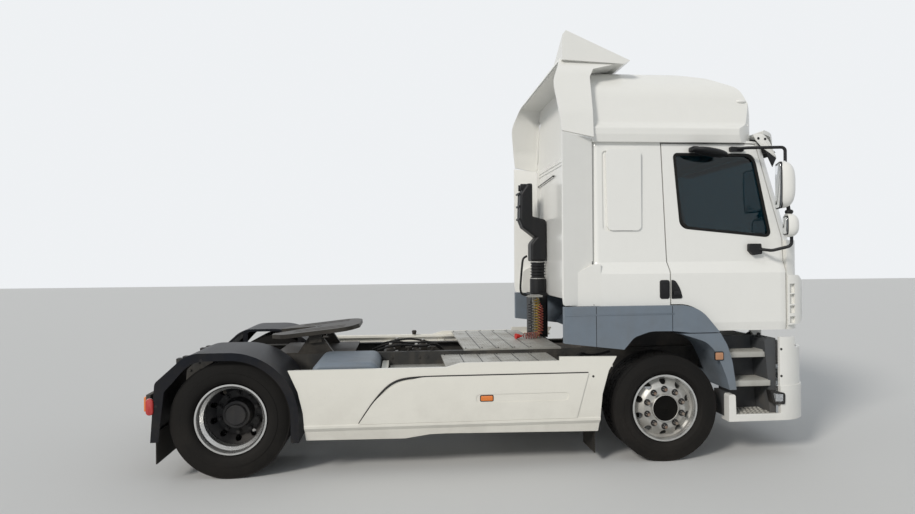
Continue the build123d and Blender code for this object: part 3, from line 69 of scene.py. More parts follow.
# Camera where the photograph was taken from
EYE = Vector((-0.80, -6.73, 1.843))
YAW = math.radians(-5.0)
PITCH = math.radians(0.12)
ROLL = math.radians(-0.48)
FOCAL_PIXELS = 636.0
PICTURE_WIDTH = 915.0
SENSOR = 36.0

ahead = Vector((-math.sin(YAW) * math.cos(PITCH), math.cos(YAW) * math.cos(PITCH), math.sin(PITCH)))
level = Vector((math.cos(YAW), math.sin(YAW), 0))
above = level.cross(ahead)
right = level * math.cos(ROLL) + above * math.sin(ROLL)
upward = above * math.cos(ROLL) - level * math.sin(ROLL)
lens = bpy.data.cameras.new("camera")
lens.sensor_width = SENSOR
lens.lens = FOCAL_PIXELS / PICTURE_WIDTH * SENSOR
lens.clip_end = 200
camera = new_object("camera", lens)
camera.matrix_world = Matrix.Translation(EYE) @ Matrix((right, upward, -ahead)).transposed().to_4x4()
scene.camera = camera


# Shader building blocks
def feed(tree, socket, part):
    """Gives a socket another node's output, or a plain value."""
    if hasattr(part, "links"):
        tree.links.new(part, socket)
    else:
        socket.default_value = part


def add(tree, kind, parts=None, **settings):
    """New node with its settings, and with values or other nodes' outputs in its sockets."""
    node = tree.nodes.new(kind)
    for key, value in settings.items():
        setattr(node, key, value)
    for socket, part in (parts or {}).items():
        feed(tree, node.inputs[socket], part)
    return node


def effect(name, inputs, outputs):
    """Empty node group with named inputs (label, socket kind, value) and outputs (label, socket kind)."""
    tree = bpy.data.node_groups.new(name, "ShaderNodeTree")
    for label, kind, value in inputs:
        socket = tree.interface.new_socket(label, in_out="INPUT", socket_type=kind)
        socket.default_value = value
    for label, kind in outputs:
        tree.interface.new_socket(label, in_out="OUTPUT", socket_type=kind)
    return tree, tree.nodes.new("NodeGroupInput").outputs, tree.nodes.new("NodeGroupOutput").inputs


def use(tree, group, parts):
    """Outputs of an effect placed in a material."""
    return add(tree, "ShaderNodeGroup", parts, node_tree=group).outputs


def noise(tree, scale, detail=4.0, rough=0.55, vector=None):
    """Cloudy pattern in the object's own space."""
    if vector is None:
        vector = add(tree, "ShaderNodeTexCoord").outputs["Object"]
    return add(tree, "ShaderNodeTexNoise",
               {"Scale": scale, "Detail": detail, "Roughness": rough, "Vector": vector}).outputs["Fac"]


def between(tree, source, low, high, bottom=0.0, top=1.0):
    """Source stretched from low..high to bottom..top and clamped."""
    return add(tree, "ShaderNodeMapRange", {"Value": source, "From Min": low, "From Max": high,
                                            "To Min": bottom, "To Max": top}).outputs["Result"]


def maths(tree, operation, *parts, clamp=False):
    """Result of one sum on numbers and outputs."""
    node = add(tree, "ShaderNodeMath", dict(enumerate(parts)), operation=operation, use_clamp=clamp)
    return node.outputs[0]


def blended(tree, factor, first, second):
    """Mix of two colours, as values or outputs."""
    return add(tree, "ShaderNodeMix", {0: factor, 6: first, 7: second}, data_type="RGBA").outputs[2]


# Road dirt: cloudy film, runs down the sides, and a heavier band near the ground
grime, given, result = effect(
    "road_grime",
    [("Colour", "NodeSocketColor", (1, 1, 1, 1)), ("Dirt", "NodeSocketColor", (0.2, 0.17, 0.13, 1)),
     ("Amount", "NodeSocketFloat", 0.5), ("Top", "NodeSocketFloat", 1.2), ("Film", "NodeSocketFloat", 0.32)],
    [("Colour", "NodeSocketColor"), ("Mask", "NodeSocketFloat")])
place = add(grime, "ShaderNodeTexCoord").outputs["Object"]
height = add(grime, "ShaderNodeSeparateXYZ", {"Vector": place}).outputs["Z"]
rise = maths(grime, "DIVIDE", maths(grime, "SUBTRACT", given["Top"], height), given["Top"], clamp=True)
cloud = between(grime, noise(grime, 3.5, 6.0, 0.62, place), 0.42, 0.75)
stretched = add(grime, "ShaderNodeMapping", {"Scale": (14.0, 14.0, 0.8), "Vector": place}).outputs[0]
runs = between(grime, noise(grime, 1.0, 3.0, 0.5, stretched), 0.52, 0.80)
specks = between(grime, noise(grime, 60.0, 3.0, 0.7, place), 0.60, 0.78)
film = maths(grime, "MULTIPLY", maths(grime, "ADD", cloud, runs), given["Film"])
low_band = maths(grime, "MULTIPLY", rise, maths(grime, "ADD", cloud, 0.55))
total = maths(grime, "ADD", maths(grime, "ADD", film, low_band), maths(grime, "MULTIPLY", specks, 0.25))
mask = maths(grime, "MULTIPLY", total, given["Amount"], clamp=True)
feed(grime, result["Colour"], blended(grime, mask, given["Colour"], given["Dirt"]))
feed(grime, result["Mask"], mask)

# Fine grain of moulded plastic, cast metal or rubber, as a height
grit, given, result = effect(
    "surface_grain",
    [("Scale", "NodeSocketFloat", 400.0), ("Depth", "NodeSocketFloat", 0.5)],
    [("Height", "NodeSocketFloat")])
fine = noise(grit, given["Scale"], 2.0, 0.6)
coarse = noise(grit, maths(grit, "DIVIDE", given["Scale"], 9.0), 3.0, 0.6)
feed(grit, result["Height"], maths(grit, "MULTIPLY", maths(grit, "ADD", fine, coarse), given["Depth"]))

# Rust that breaks through in patches
rusting, given, result = effect(
    "rust_patches",
    [("Colour", "NodeSocketColor", (0.5, 0.5, 0.5, 1)), ("Amount", "NodeSocketFloat", 0.3)],
    [("Colour", "NodeSocketColor"), ("Mask", "NodeSocketFloat")])
patch = noise(rusting, 22.0, 7.0, 0.68)
edge = maths(rusting, "SUBTRACT", 0.78, maths(rusting, "MULTIPLY", given["Amount"], 0.45))
rust_mask = maths(rusting, "MULTIPLY", maths(rusting, "SUBTRACT", patch, edge), 9.0, clamp=True)
tone = between(rusting, noise(rusting, 90.0, 4.0, 0.7), 0.35, 0.7)
rust_colour = blended(rusting, tone, (0.10, 0.035, 0.015, 1), (0.30, 0.12, 0.05, 1))
feed(rusting, result["Colour"], blended(rusting, rust_mask, given["Colour"], rust_colour))
feed(rusting, result["Mask"], rust_mask)

DUST = (0.22, 0.19, 0.15, 1)
TYRE_DUST = (0.040, 0.035, 0.030, 1)


def finish(name, colour, rough=0.5, metal=0.0, coat=0.0, dirt=0.4, dirt_top=1.2, dirt_colour=DUST,
           grain=0.0, grain_scale=400.0, rust=0.0, mottle=0.06, film=0.32, shine=0.5):
    """Painted, moulded or bare surface with mottling, grime, rust and grain."""
    made = bpy.data.materials.new(name)
    made.use_nodes = True
    tree = made.node_tree
    tree.nodes.clear()
    shader = add(tree, "ShaderNodeBsdfPrincipled", {"Metallic": metal, "Coat Weight": coat,
                                                    "Coat Roughness": 0.08, "Specular IOR Level": shine})
    add(tree, "ShaderNodeOutputMaterial", {"Surface": shader.outputs[0]})
    dark = [part * (1 - mottle * 2) for part in colour]
    source = blended(tree, between(tree, noise(tree, 7.0, 5.0, 0.6), 0.35, 0.75), (*colour, 1), (*dark, 1))
    if rust:
        source = use(tree, rusting, {"Amount": rust, "Colour": source})["Colour"]
    spread = use(tree, grime, {"Colour": source, "Dirt": dirt_colour, "Amount": dirt, "Top": dirt_top,
                               "Film": film})
    feed(tree, shader.inputs["Base Color"], spread["Colour"])
    feed(tree, shader.inputs["Roughness"],
         between(tree, spread["Mask"], 0, 1, rough, min(0.95, rough + 0.45)))
    if grain:
        height = use(tree, grit, {"Scale": grain_scale, "Depth": grain})["Height"]
        bump = add(tree, "ShaderNodeBump", {"Strength": 0.6, "Distance": 0.001, "Height": height})
        feed(tree, shader.inputs["Normal"], bump.outputs[0])
    return made


def clear(name, colour, transmission=1.0, shine=0.5):
    """Glass or a lamp cover under a thin film of dust."""
    made = bpy.data.materials.new(name)
    made.use_nodes = True
    tree = made.node_tree
    shader = tree.nodes["Principled BSDF"]
    shader.inputs["Transmission Weight"].default_value = transmission
    shader.inputs["IOR"].default_value = 1.45
    shader.inputs["Specular IOR Level"].default_value = shine
    film = between(tree, noise(tree, 5.0, 4.0, 0.6), 0.4, 0.8)
    dusty = [0.85 * part + 0.025 for part in colour]
    feed(tree, shader.inputs["Base Color"],
         blended(tree, maths(tree, "MULTIPLY", film, 0.25), (*colour, 1), (*dusty, 1)))
    feed(tree, shader.inputs["Roughness"], between(tree, film, 0, 1, 0.03, 0.09))
    return made


# Finishes
cream_paint = finish("cream_paint", (0.80, 0.797, 0.765), rough=0.26, coat=0.5, dirt=0.20, dirt_top=1.25,
                     mottle=0.004, film=0.05)
cream_plastic = finish("cream_moulding", (0.775, 0.757, 0.69), rough=0.36, coat=0.25, dirt=0.26, dirt_top=0.8,
                       mottle=0.006, film=0.06)
white_plastic = finish("white_moulding", (0.79, 0.785, 0.75), rough=0.34, coat=0.25, dirt=0.22, dirt_top=0.8,
                       mottle=0.006, film=0.05)
grey_plastic = finish("grey_moulding", (0.153, 0.187, 0.226), rough=0.55, dirt=0.25, grain=0.5)
step_plastic = finish("step_grey", (0.060, 0.066, 0.074), rough=0.6, dirt=0.25, grain=0.5, shine=0.3)
tread_plastic = finish("tread_grey", (0.46, 0.46, 0.43), rough=0.6, dirt=0.45, grain=0.6)
black_plastic = finish("black_moulding", (0.009, 0.0095, 0.011), rough=0.48, dirt=0.14, grain=0.6, film=0.12,
                       shine=0.3)
guard_plastic = finish("guard_moulding", (0.006, 0.008, 0.013), rough=0.42, dirt=0.12, dirt_top=1.3,
                       grain=0.8, film=0.25, mottle=0.2, shine=0.14)
# Near-black of the front hub bores: painted shade inside the hub's recess
recess_shade_black = finish("recess_shade_black", (0.004, 0.004, 0.004), rough=0.7, dirt=0.02, dirt_top=1.0, grain=0.4,
                    shine=0.05)
rubber = finish("black_rubber", (0.008, 0.008, 0.008), rough=0.65, dirt=0.15, dirt_top=1.0, grain=0.3,
                film=0.15, shine=0.2)
tyre_rubber = finish("tyre_rubber", (0.0085, 0.008, 0.0075), rough=0.75, dirt=0.28, dirt_top=0.9, grain=0.5,
                     dirt_colour=TYRE_DUST, film=0.25, shine=0.15)
bright_rim = finish("rim_bright", (0.72, 0.72, 0.71), rough=0.22, metal=0.9, dirt=0.22, dirt_top=0.7,
                    grain=0.08)
rim_paint = finish("rim_silver", (0.55, 0.55, 0.53), rough=0.38, metal=0.55, dirt=0.5, dirt_top=0.9,
                   grain=0.15, rust=0.12)
rear_rim_paint = finish("rear_rim_dark", (0.012, 0.013, 0.016), dirt=0.12, dirt_top=0.9, grain=0.3, rust=0.05,
                        shine=0.3)
rusty = finish("rusty_nut", (0.30, 0.25, 0.21), rough=0.6, metal=0.6, dirt=0.3, dirt_top=1.0, grain=0.6,
               rust=0.62)
frame_paint = finish("frame_paint", (0.022, 0.024, 0.026), rough=0.6, dirt=0.35, dirt_top=1.3, grain=0.35,
                     rust=0.12, shine=0.25)
cast_iron = finish("cast_grease", (0.015, 0.014, 0.013), rough=0.45, metal=0.1, dirt=0.28, dirt_top=1.6,
                   grain=0.5, grain_scale=160.0, rust=0.2, mottle=0.25, shine=0.35)
engine_paint = finish("engine_grey", (0.045, 0.045, 0.047), rough=0.6, dirt_top=1.6, grain=0.4, shine=0.25)
tread_plate = finish("tread_plate", (0.55, 0.55, 0.52), rough=0.42, metal=0.75, dirt=0.55, dirt_top=1.5,
                     grain=0.25, mottle=0.12)
tank_alloy = finish("tank_alloy", (0.60, 0.61, 0.62), rough=0.35, metal=0.9, dirt=0.45, dirt_top=1.1,
                    grain=0.1)
cabin_plastic = finish("cabin_plastic", (0.10, 0.10, 0.105), rough=0.6, dirt=0.1, grain=0.4)
cloth = finish("seat_cloth", (0.075, 0.08, 0.095), rough=0.9, dirt=0.1, dirt_top=0.1, grain=0.9,
               grain_scale=700.0)
chrome = finish("mirror_face", (0.80, 0.82, 0.84), rough=0.04, metal=1.0, dirt=0.05, dirt_top=0.1)
window_glass = clear("window_glass", (0.045, 0.12, 0.145), shine=0.15)
lens_clear = clear("lens_clear", (0.85, 0.87, 0.88), transmission=0.8)
lens_pale = finish("lens_pale", (0.86, 0.85, 0.82), rough=0.15, coat=0.8, dirt=0.1)
lens_amber = finish("lens_amber", (0.85, 0.22, 0.02), rough=0.15, coat=0.8, dirt=0.12)
lens_dull = finish("lens_dull", (0.50, 0.24, 0.12), rough=0.35, coat=0.3, dirt=0.35)
lens_red = finish("lens_red", (0.50, 0.015, 0.012), rough=0.15, coat=0.8, dirt=0.12)
plug_red = finish("plug_red", (0.60, 0.02, 0.015), rough=0.35, coat=0.2, dirt=0.15)
line_colours = {
    "red": finish("line_red", (0.22, 0.035, 0.02), rough=0.35, coat=0.3, dirt=0.3),
    "yellow": finish("line_yellow", (0.50, 0.33, 0.03), rough=0.35, coat=0.3, dirt=0.3),
    "black": finish("line_black", (0.02, 0.02, 0.022), rough=0.4, coat=0.3, dirt=0.2),
}

# Finish of each solid that stays as it is; a name without its side stands for both sides
NODE_FINISH = {
    cream_paint: ["cab_shell", "door"],
    cream_plastic: ["side_skirts"],
    white_plastic: ["high_roof", "sun_visor", "roof_deflector", "side_extenders", "front_panel", "bumper",
                    "grille_lid", "mirrors"],
    grey_plastic: ["arch_trims", "lower_arches", "battery_box"],
    step_plastic: ["step_wells"],
    guard_plastic: ["rear_mudguards"],
    black_plastic: ["intake_duct", "air_filter", "kerb_mirror", "mirror_arms"],
    rubber: ["air_springs", "mud_flaps"],
    tyre_rubber: ["front_tyre", "rear_tyres"],
    rim_paint: ["front_rim"],
    rear_rim_paint: ["rear_rims"],
    frame_paint: ["chassis_frame", "propeller_shaft", "rear_lamps"],
    cast_iron: ["front_axle", "rear_axle", "knuckle", "track_rod", "fifth_wheel_base", "fifth_wheel_plate"],
    engine_paint: ["engine"],
    tread_plate: ["catwalk", "exhaust_box"],
    tank_alloy: ["fuel_tank"],
    window_glass: ["windscreen", "door_glass"],
    lens_clear: ["headlamps"],
    cabin_plastic: ["dashboard"],
    cloth: ["seats", "bunk"],
    **{line_finish: [f"curly_line_{colour}"] for colour, line_finish in line_colours.items()},
}
for material, names in NODE_FINISH.items():
    for name in names:
        for node_name in {name, name + "_left", name + "_right"} & set(nodes):
            for slot in nodes[node_name].material_slots:
                slot.material = material

# Slot name of each finish, looked up by each new piece that doesn't name another, and not used further
SLOT_FINISHES = {
    "cream_plastic": [white_plastic],
    "grey_plastic": [grey_plastic, tread_plastic],
    "black_plastic": [black_plastic, recess_shade_black],
    "black_rubber": [rubber],
    "tyre_rubber": [tyre_rubber],
    "silver_rim": [bright_rim, rim_paint, rear_rim_paint, rusty, chrome],
    "lamp_glass": [lens_clear, lens_pale, lens_amber, lens_dull, lens_red],
    "frame_paint": [frame_paint],
    "cast_dark": [cast_iron],
    "tread_plate": [tread_plate],
    "cabin_plastic": [cabin_plastic],
    "trim_fabric": [cloth],
    "line_red": [plug_red],
}
SLOT_OF = {material: slot for slot, group in SLOT_FINISHES.items() for material in group}


# Shapes
def side_half(z):
    """Half width of the cab's outer skin at height z."""
    for low, high, near, far in zip(SIDE_HEIGHTS, SIDE_HEIGHTS[1:], SIDE_HALVES, SIDE_HALVES[1:]):
        if z <= high:
            return near + (far - near) * max(0.0, (z - low) / (high - low))
    return SIDE_HALVES[-1]


def outward(bm):
    """Turns every face outwards."""
    bmesh.ops.recalc_face_normals(bm, faces=bm.faces[:])


def drape(bm, sign):
    """Moves vertices from (x, height over the skin, z) to the cab's side, -1 being the right one."""
    for vert in bm.verts:
        vert.co.y = sign * (side_half(vert.co.z) + vert.co.y)
    bm.normal_update()
    outward(bm)


def flip(bm):
    """Sends a right-hand piece to the left side."""
    bmesh.ops.scale(bm, vec=(1, -1, 1), verts=bm.verts[:])
    bmesh.ops.reverse_faces(bm, faces=bm.faces[:])


def join(bm, part):
    """Adds one bmesh to another, and frees it."""
    spare = bpy.data.meshes.new("spare")
    part.to_mesh(spare)
    part.free()
    bm.from_mesh(spare)
    bpy.data.meshes.remove(spare)


def put(bm, verts, middle, turn=0.0, axis="Z"):
    """Turns vertices about the origin, and moves them to their middle."""
    bmesh.ops.rotate(bm, cent=(0, 0, 0), matrix=Matrix.Rotation(turn, 3, axis), verts=verts)
    bmesh.ops.translate(bm, vec=middle, verts=verts)


def block(bm, x, y, z, bevel=0.004, segments=2):
    """Box between (low, high) pairs, with rounded edges."""
    made = bmesh.ops.create_cube(bm, size=1.0)["verts"]
    size = Vector((x[1] - x[0], y[1] - y[0], z[1] - z[0]))
    bmesh.ops.scale(bm, vec=size, verts=made)
    bmesh.ops.translate(bm, vec=(sum(x) / 2, sum(y) / 2, sum(z) / 2), verts=made)
    if bevel:
        edges = list({edge for vert in made for edge in vert.link_edges})
        bmesh.ops.bevel(bm, geom=edges, offset=min(bevel, min(size) * 0.45), segments=segments,
                        affect="EDGES", profile=0.5, material=-1)


def rod(bm, start, end, radius, sides=16, end_radius=None):
    """Round bar from start to end."""
    start, end = Vector(start), Vector(end)
    run = end - start
    made = bmesh.ops.create_cone(bm, cap_ends=True, segments=sides, radius1=radius,
                                 radius2=end_radius or radius, depth=run.length)["verts"]
    bmesh.ops.rotate(bm, cent=(0, 0, 0), matrix=run.to_track_quat("Z", "Y").to_matrix(), verts=made)
    bmesh.ops.translate(bm, vec=(start + end) / 2, verts=made)


def bolts(bm, places, outwards, head, height):
    """Hexagon heads with washers at places, standing along the vector outwards."""
    for at in places:
        start = Vector(at)
        rod(bm, start, start + Vector(outwards) * height * 0.3, head * 1.35, 16)
        rod(bm, start, start + Vector(outwards) * height, head, 6)


def rounded(low, high, corner):
    """Outline of an upright rectangle between two (a, b) corners."""
    return [(low[0], low[1], corner), (high[0], low[1], corner), (high[0], high[1], corner),
            (low[0], high[1], corner)]


def slab(bm, corners, place, depth, bevel=0.0, ring=0.0):
    """Outline of (a, b, corner run) put in space by place(a, b), given thickness by the vector depth.
    A ring width keeps only a border of that width inside the outline."""
    part = bmesh.new()
    verts = [part.verts.new(place(corner[0], corner[1])) for corner in corners]
    part.faces.new(verts)
    for vert, corner in zip(verts, corners):
        if len(corner) > 2 and corner[2]:
            bmesh.ops.bevel(part, geom=[vert], offset=corner[2], segments=6, affect="VERTICES", profile=0.5,
                            material=-1)
    if ring:
        inner = part.faces[:]
        bmesh.ops.inset_region(part, faces=inner, thickness=ring, use_even_offset=True, use_boundary=True)
        bmesh.ops.delete(part, geom=inner, context="FACES")
    grown = bmesh.ops.extrude_face_region(part, geom=part.faces[:])["geom"]
    moved = [item for item in grown if isinstance(item, bmesh.types.BMVert)]
    bmesh.ops.translate(part, vec=depth, verts=moved)
    outward(part)
    if bevel:
        sharp = [edge for edge in part.edges if len(edge.link_faces) == 2 and edge.calc_face_angle(0) > 0.7]
        bmesh.ops.bevel(part, geom=sharp, offset=bevel, segments=2, affect="EDGES", profile=0.5, material=-1)
    join(bm, part)


def plate(bm, corners, y, thickness, bevel=0.002, ring=0.0):
    """Side-view outline of (x, z, corner run) that stands outwards from the right-hand plane y."""
    slab(bm, corners, lambda a, b: (a, -y, b), (0, -thickness, 0), bevel=bevel, ring=ring)


def turned(bm, rows, centre, steps=96):
    """Profile of (y, radius) rows turned about the cross axis through centre."""
    verts = [bm.verts.new((centre[0], centre[1] + y, centre[2] + radius)) for y, radius in rows]
    edges = [bm.edges.new(pair) for pair in zip(verts, verts[1:])]
    bmesh.ops.spin(bm, geom=verts + edges, cent=centre, axis=(0, 1, 0), angle=math.tau, steps=steps,
                   use_merge=True, use_duplicate=False)


def shell(bm, size, power, flat, middle, turn, axis="Z"):
    """Rounded box by one smooth formula, cut flat behind; size holds its half lengths."""
    made = bmesh.ops.create_uvsphere(bm, u_segments=48, v_segments=32, radius=1.0)["verts"]
    for vert in made:
        reach = sum(abs(part) ** power for part in vert.co) ** (1 / power)
        vert.co = Vector(a * b for a, b in zip(vert.co / reach, size))
        vert.co.x = max(vert.co.x, flat)
    put(bm, made, middle, turn, axis)


def piece(name, bm, material, body, slot=None, replaced=(), mirror=False, smooth=35.0):
    """Finished object from a bmesh; mirror adds the other side's copy in the same object."""
    if mirror:
        copy = bmesh.ops.duplicate(bm, geom=bm.verts[:] + bm.edges[:] + bm.faces[:])["geom"]
        verts = [item for item in copy if isinstance(item, bmesh.types.BMVert)]
        faces = [item for item in copy if isinstance(item, bmesh.types.BMFace)]
        bmesh.ops.scale(bm, vec=(1, -1, 1), verts=verts)
        bmesh.ops.reverse_faces(bm, faces=faces)
    mesh = bpy.data.meshes.new(name)
    bm.to_mesh(mesh)
    bm.free()
    made = new_object(name, mesh)
    mesh.materials.append(material)
    mesh.shade_smooth()
    if smooth:
        mesh.set_sharp_from_angle(angle=math.radians(smooth))
    slot = slot or SLOT_OF[material]
    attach(made, body)
    if replaced:
        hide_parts(*replaced)
    return made


def smooth_line(name, runs, widths=None):
    """Curve with one open smooth spline through each run of control points."""
    line = bpy.data.curves.new(name, "CURVE")
    line.dimensions = "3D"
    for points in runs:
        spline = line.splines.new("NURBS")
        spline.points.add(len(points) - 1)
        for i, (point, at) in enumerate(zip(spline.points, points)):
            point.co = (*at, 1)
            point.radius = widths[i] if widths else 1.0
        spline.order_u = 3
        spline.use_endpoint_u = True
    return line


def drawn_mesh(line):
    """Mesh of a curve as it is drawn."""
    holder = new_object("holder", line)
    bpy.context.view_layer.update()
    shape = bpy.data.meshes.new_from_object(holder.evaluated_get(bpy.context.evaluated_depsgraph_get()))
    bpy.data.objects.remove(holder)
    return shape


def tube(name, points, radius, material, body, sides=4, widths=None, mirrored=False):
    """Round bar or bead along a smooth line, as a mesh; widths scales the radius at each point."""
    runs = [points]
    if mirrored:
        runs.append([(x, -y, z) for x, y, z in points])
    rail = smooth_line(name, runs, widths)
    rail.bevel_depth = radius
    rail.bevel_resolution = sides
    rail.use_fill_caps = True
    rail.resolution_u = 8
    shape = drawn_mesh(rail)
    bpy.data.curves.remove(rail)
    bm = bmesh.new()
    bm.from_mesh(shape)
    bpy.data.meshes.remove(shape)
    bmesh.ops.remove_doubles(bm, verts=bm.verts[:], dist=1e-5)
    outward(bm)
    piece(name, bm, material, body, smooth=50)


# Tyres with tread blocks and a stepped side wall
TREAD_STEPS = 240
TREAD_DEPTH = 0.008
SHOULDER_DROP = 0.005
GROOVE = 0.009
GROOVE_SHARES = (-0.56, -0.19, 0.19, 0.56)
BEAD_SEAT = 0.2875


def tyre(name, node_name, centres, axle_x, radius, width, tread, rim, body):
    """Tyres on one hub, each from a turned profile with raised tread blocks."""
    bm = bmesh.new()
    half, face, bead = width / 2, tread / 2, rim / 2
    base = radius - TREAD_DEPTH
    bulge = BEAD_SEAT + 0.45 * (radius - BEAD_SEAT)
    ribs = [-face]
    for share in GROOVE_SHARES:
        ribs += [share * face - GROOVE / 2, share * face + GROOVE / 2]
    ribs.append(face)
    wall = [(-bead + 0.006, BEAD_SEAT), (-bead, BEAD_SEAT + 0.016), (-bead - 0.012, BEAD_SEAT + 0.024),
            (-half + 0.010, BEAD_SEAT + 0.040), (-half + 0.002, bulge - 0.035), (-half, bulge),
            (-half + 0.001, bulge + 0.012), (-half + 0.005, bulge + 0.014), (-half + 0.006, bulge + 0.034),
            (-face - 0.012, radius - 0.045), (-face - 0.004, radius - 0.022)]
    crown = [(y, base - SHOULDER_DROP * (abs(y) / face) ** 4) for y in ribs]
    for centre in centres:
        turned(bm, wall + crown + [(-y, reach) for y, reach in reversed(wall)], (axle_x, centre, radius),
               TREAD_STEPS)
    bmesh.ops.remove_doubles(bm, verts=bm.verts[:], dist=1e-6)
    outward(bm)
    hub = Vector((axle_x, 0, radius))
    for centre in centres:
        chosen = []
        for facet in bm.faces:
            middle = facet.calc_center_median()
            for i in range(0, len(ribs), 2):
                if ribs[i] < middle.y - centre < ribs[i + 1] and (middle - hub).xz.length > base - 0.010:
                    angle = math.atan2(middle.z - radius, middle.x - axle_x)
                    step = round((angle + math.pi) / math.tau * TREAD_STEPS - 0.5)
                    if i in (0, len(ribs) - 2) or (step + i) % 6:
                        chosen.append(facet)
        for vert in bmesh.ops.extrude_face_region(bm, geom=chosen)["geom"]:
            if isinstance(vert, bmesh.types.BMVert):
                out = Vector((vert.co.x - axle_x, 0, vert.co.z - radius))
                vert.co += out.normalized() * (radius - 0.0005 - out.length)
    piece(name, bm, tyre_rubber, body, replaced=[node_name], smooth=30)


for side, sign in SIDES:
    tyre(f"front_tyre_tread_{side}", f"front_tyre_{side}", [sign * FRONT_TYRE_Y], FRONT_AXLE, FRONT_HUB_Z,
         0.386, 0.320, 0.298, f"front_wheel_{side}")
    tyre(f"rear_tyre_tread_{side}", f"rear_tyres_{side}", [sign * REAR_TYRE_Y, sign * REAR_INNER_Y],
         REAR_AXLE, REAR_HUB_Z, 0.313, 0.262, 0.229, f"rear_wheels_{side}")

# Wheel nuts with washers on the front rims and on the rear discs, and the ends of their studs
STUDS = 10
STUD_CIRCLE = 0.1675
NUT_TABLE = [("front_rim", FRONT_AXLE, FRONT_HUB_Z, FRONT_HUB_FACE, "front_wheel", rusty),
             ("rear_rim", REAR_AXLE, REAR_HUB_Z, REAR_DISC_FACE, "rear_wheels", rear_rim_paint)]
for label, hub_x, hub_z, face, wheel, ends in NUT_TABLE:
    for side, sign in SIDES:
        studs = bmesh.new()
        nuts = bmesh.new()
        for i in range(STUDS):
            angle = math.tau * i / STUDS
            x, z = hub_x + STUD_CIRCLE * math.sin(angle), hub_z + STUD_CIRCLE * math.cos(angle)
            for bm, low, high, radius, sides, end_radius in ((nuts, -0.001, 0.007, 0.030, 24, 0.0285),
                                                             (nuts, 0.006, 0.034, 0.0205, 6, 0.0205),
                                                             (studs, 0.032, 0.044, 0.0140, 16, 0.0125)):
                rod(bm, (x, sign * (face + low), z), (x, sign * (face + high), z), radius, sides, end_radius)
        piece(f"{label}_studs_{side}", studs, ends, f"{wheel}_{side}")
        piece(f"{label}_nuts_{side}", nuts, rear_rim_paint, f"{wheel}_{side}", slot="black_plastic")

# Bright flanges and liners of the rims, the ring of each front hub, and its bore in near-black, which paints
# the shade inside the hub's recess
RINGS = [
    ("rear_rim_liner", (REAR_AXLE, REAR_TYRE_Y, REAR_HUB_Z), bright_rim, "rear_wheels",
     [(0.1272, 0.2990), (0.1272, 0.2852), (0.1070, 0.2731), (0.0750, 0.2731), (0.0470, 0.2492),
      (-0.030, 0.2492), (-0.030, 0.2485), (0.0474, 0.2485), (0.0754, 0.2724), (0.1074, 0.2724),
      (0.1284, 0.2846), (0.1284, 0.2994)]),
    ("front_rim_flange", (FRONT_AXLE, FRONT_TYRE_Y, FRONT_HUB_Z), bright_rim, "front_wheel",
     [(0.1617, 0.2990), (0.1617, 0.2850), (0.1420, 0.2732), (0.1416, 0.2727), (0.1628, 0.2846),
      (0.1628, 0.2994)]),
    ("front_hub_ring", (FRONT_AXLE, FRONT_HUB_FACE, FRONT_HUB_Z), rim_paint, "front_wheel",
     [(0.0, 0.126), (0.010, 0.126), (0.028, 0.121), (0.030, 0.118), (0.028, 0.115), (0.0, 0.115)]),
]
HUB_BORE = [(0.0, 0.1155), (0.0225, 0.1150), (0.0210, 0.060), (0.0240, 0.052), (0.0240, 0.018),
            (0.0270, 0.014), (0.0270, 0.0001)]
for side, sign in SIDES:
    for label, (x, y, z), material, wheel, rows in RINGS:
        bm = bmesh.new()
        turned(bm, [(sign * out, radius) for out, radius in rows + rows[:1]], (x, sign * y, z))
        bmesh.ops.remove_doubles(bm, verts=bm.verts[:], dist=1e-5)
        outward(bm)
        piece(f"{label}_{side}", bm, material, f"{wheel}_{side}", smooth=40)
    bm = bmesh.new()
    turned(bm, [(sign * out, radius) for out, radius in HUB_BORE],
           (FRONT_AXLE, sign * FRONT_HUB_FACE, FRONT_HUB_Z), 64)
    outward(bm)
    piece(f"front_hub_bore_{side}", bm, recess_shade_black, f"front_wheel_{side}", smooth=40)

# Rubber round the door windows
WINDOW = [(1.668, 2.790, 0.045), (2.445, 2.786, 0.10), (2.602, 2.010, 0.07), (1.726, 2.098, 0.10)]
for side, sign in SIDES:
    bm = bmesh.new()
    slab(bm, WINDOW, lambda a, b: (a, -0.012, b), (0, 0.016, 0), bevel=0.003, ring=0.026)
    drape(bm, sign)
    piece(f"window_rubber_{side}", bm, rubber, f"{side}_door")

# Door handles: a cupped plate on the door and its black field that carries on over the shut line
HANDLE_LOW = 1.462
HANDLE_TOP = 1.632
HANDLE = [(1.621, HANDLE_LOW, 0.006), (1.726, HANDLE_LOW + 0.002, 0.022), (1.700, 1.560, 0.030),
          (1.655, HANDLE_TOP - 0.002, 0.020), (1.621, HANDLE_TOP, 0.006)]
GRIP = [(1.632, HANDLE_LOW + 0.028, 0.010), (1.706, HANDLE_LOW + 0.028, 0.012),
        (1.688, HANDLE_LOW + 0.072, 0.012), (1.632, HANDLE_LOW + 0.072, 0.010)]
for side, sign in SIDES:
    bm = bmesh.new()
    plate(bm, HANDLE, SIDE_FACE - 0.004, 0.012, bevel=0.004)
    plate(bm, GRIP, SIDE_FACE + 0.006, 0.022, bevel=0.008)
    rod(bm, (1.650, -SIDE_FACE - 0.006, 1.585), (1.650, -SIDE_FACE - 0.013, 1.585), 0.011, 24)
    if sign > 0:
        flip(bm)
    piece(f"door_handle_{side}", bm, black_plastic, f"{side}_door")
bm = bmesh.new()
plate(bm, rounded((1.512, HANDLE_LOW), (1.604, HANDLE_TOP), 0.020), SIDE_FACE - 0.004, 0.010, bevel=0.004)
plate(bm, rounded((1.530, HANDLE_LOW + 0.022), (1.600, HANDLE_TOP - 0.022), 0.014), SIDE_FACE + 0.005, 0.004,
      ring=0.006)
piece("handle_fields", bm, black_plastic, "cab", mirror=True)

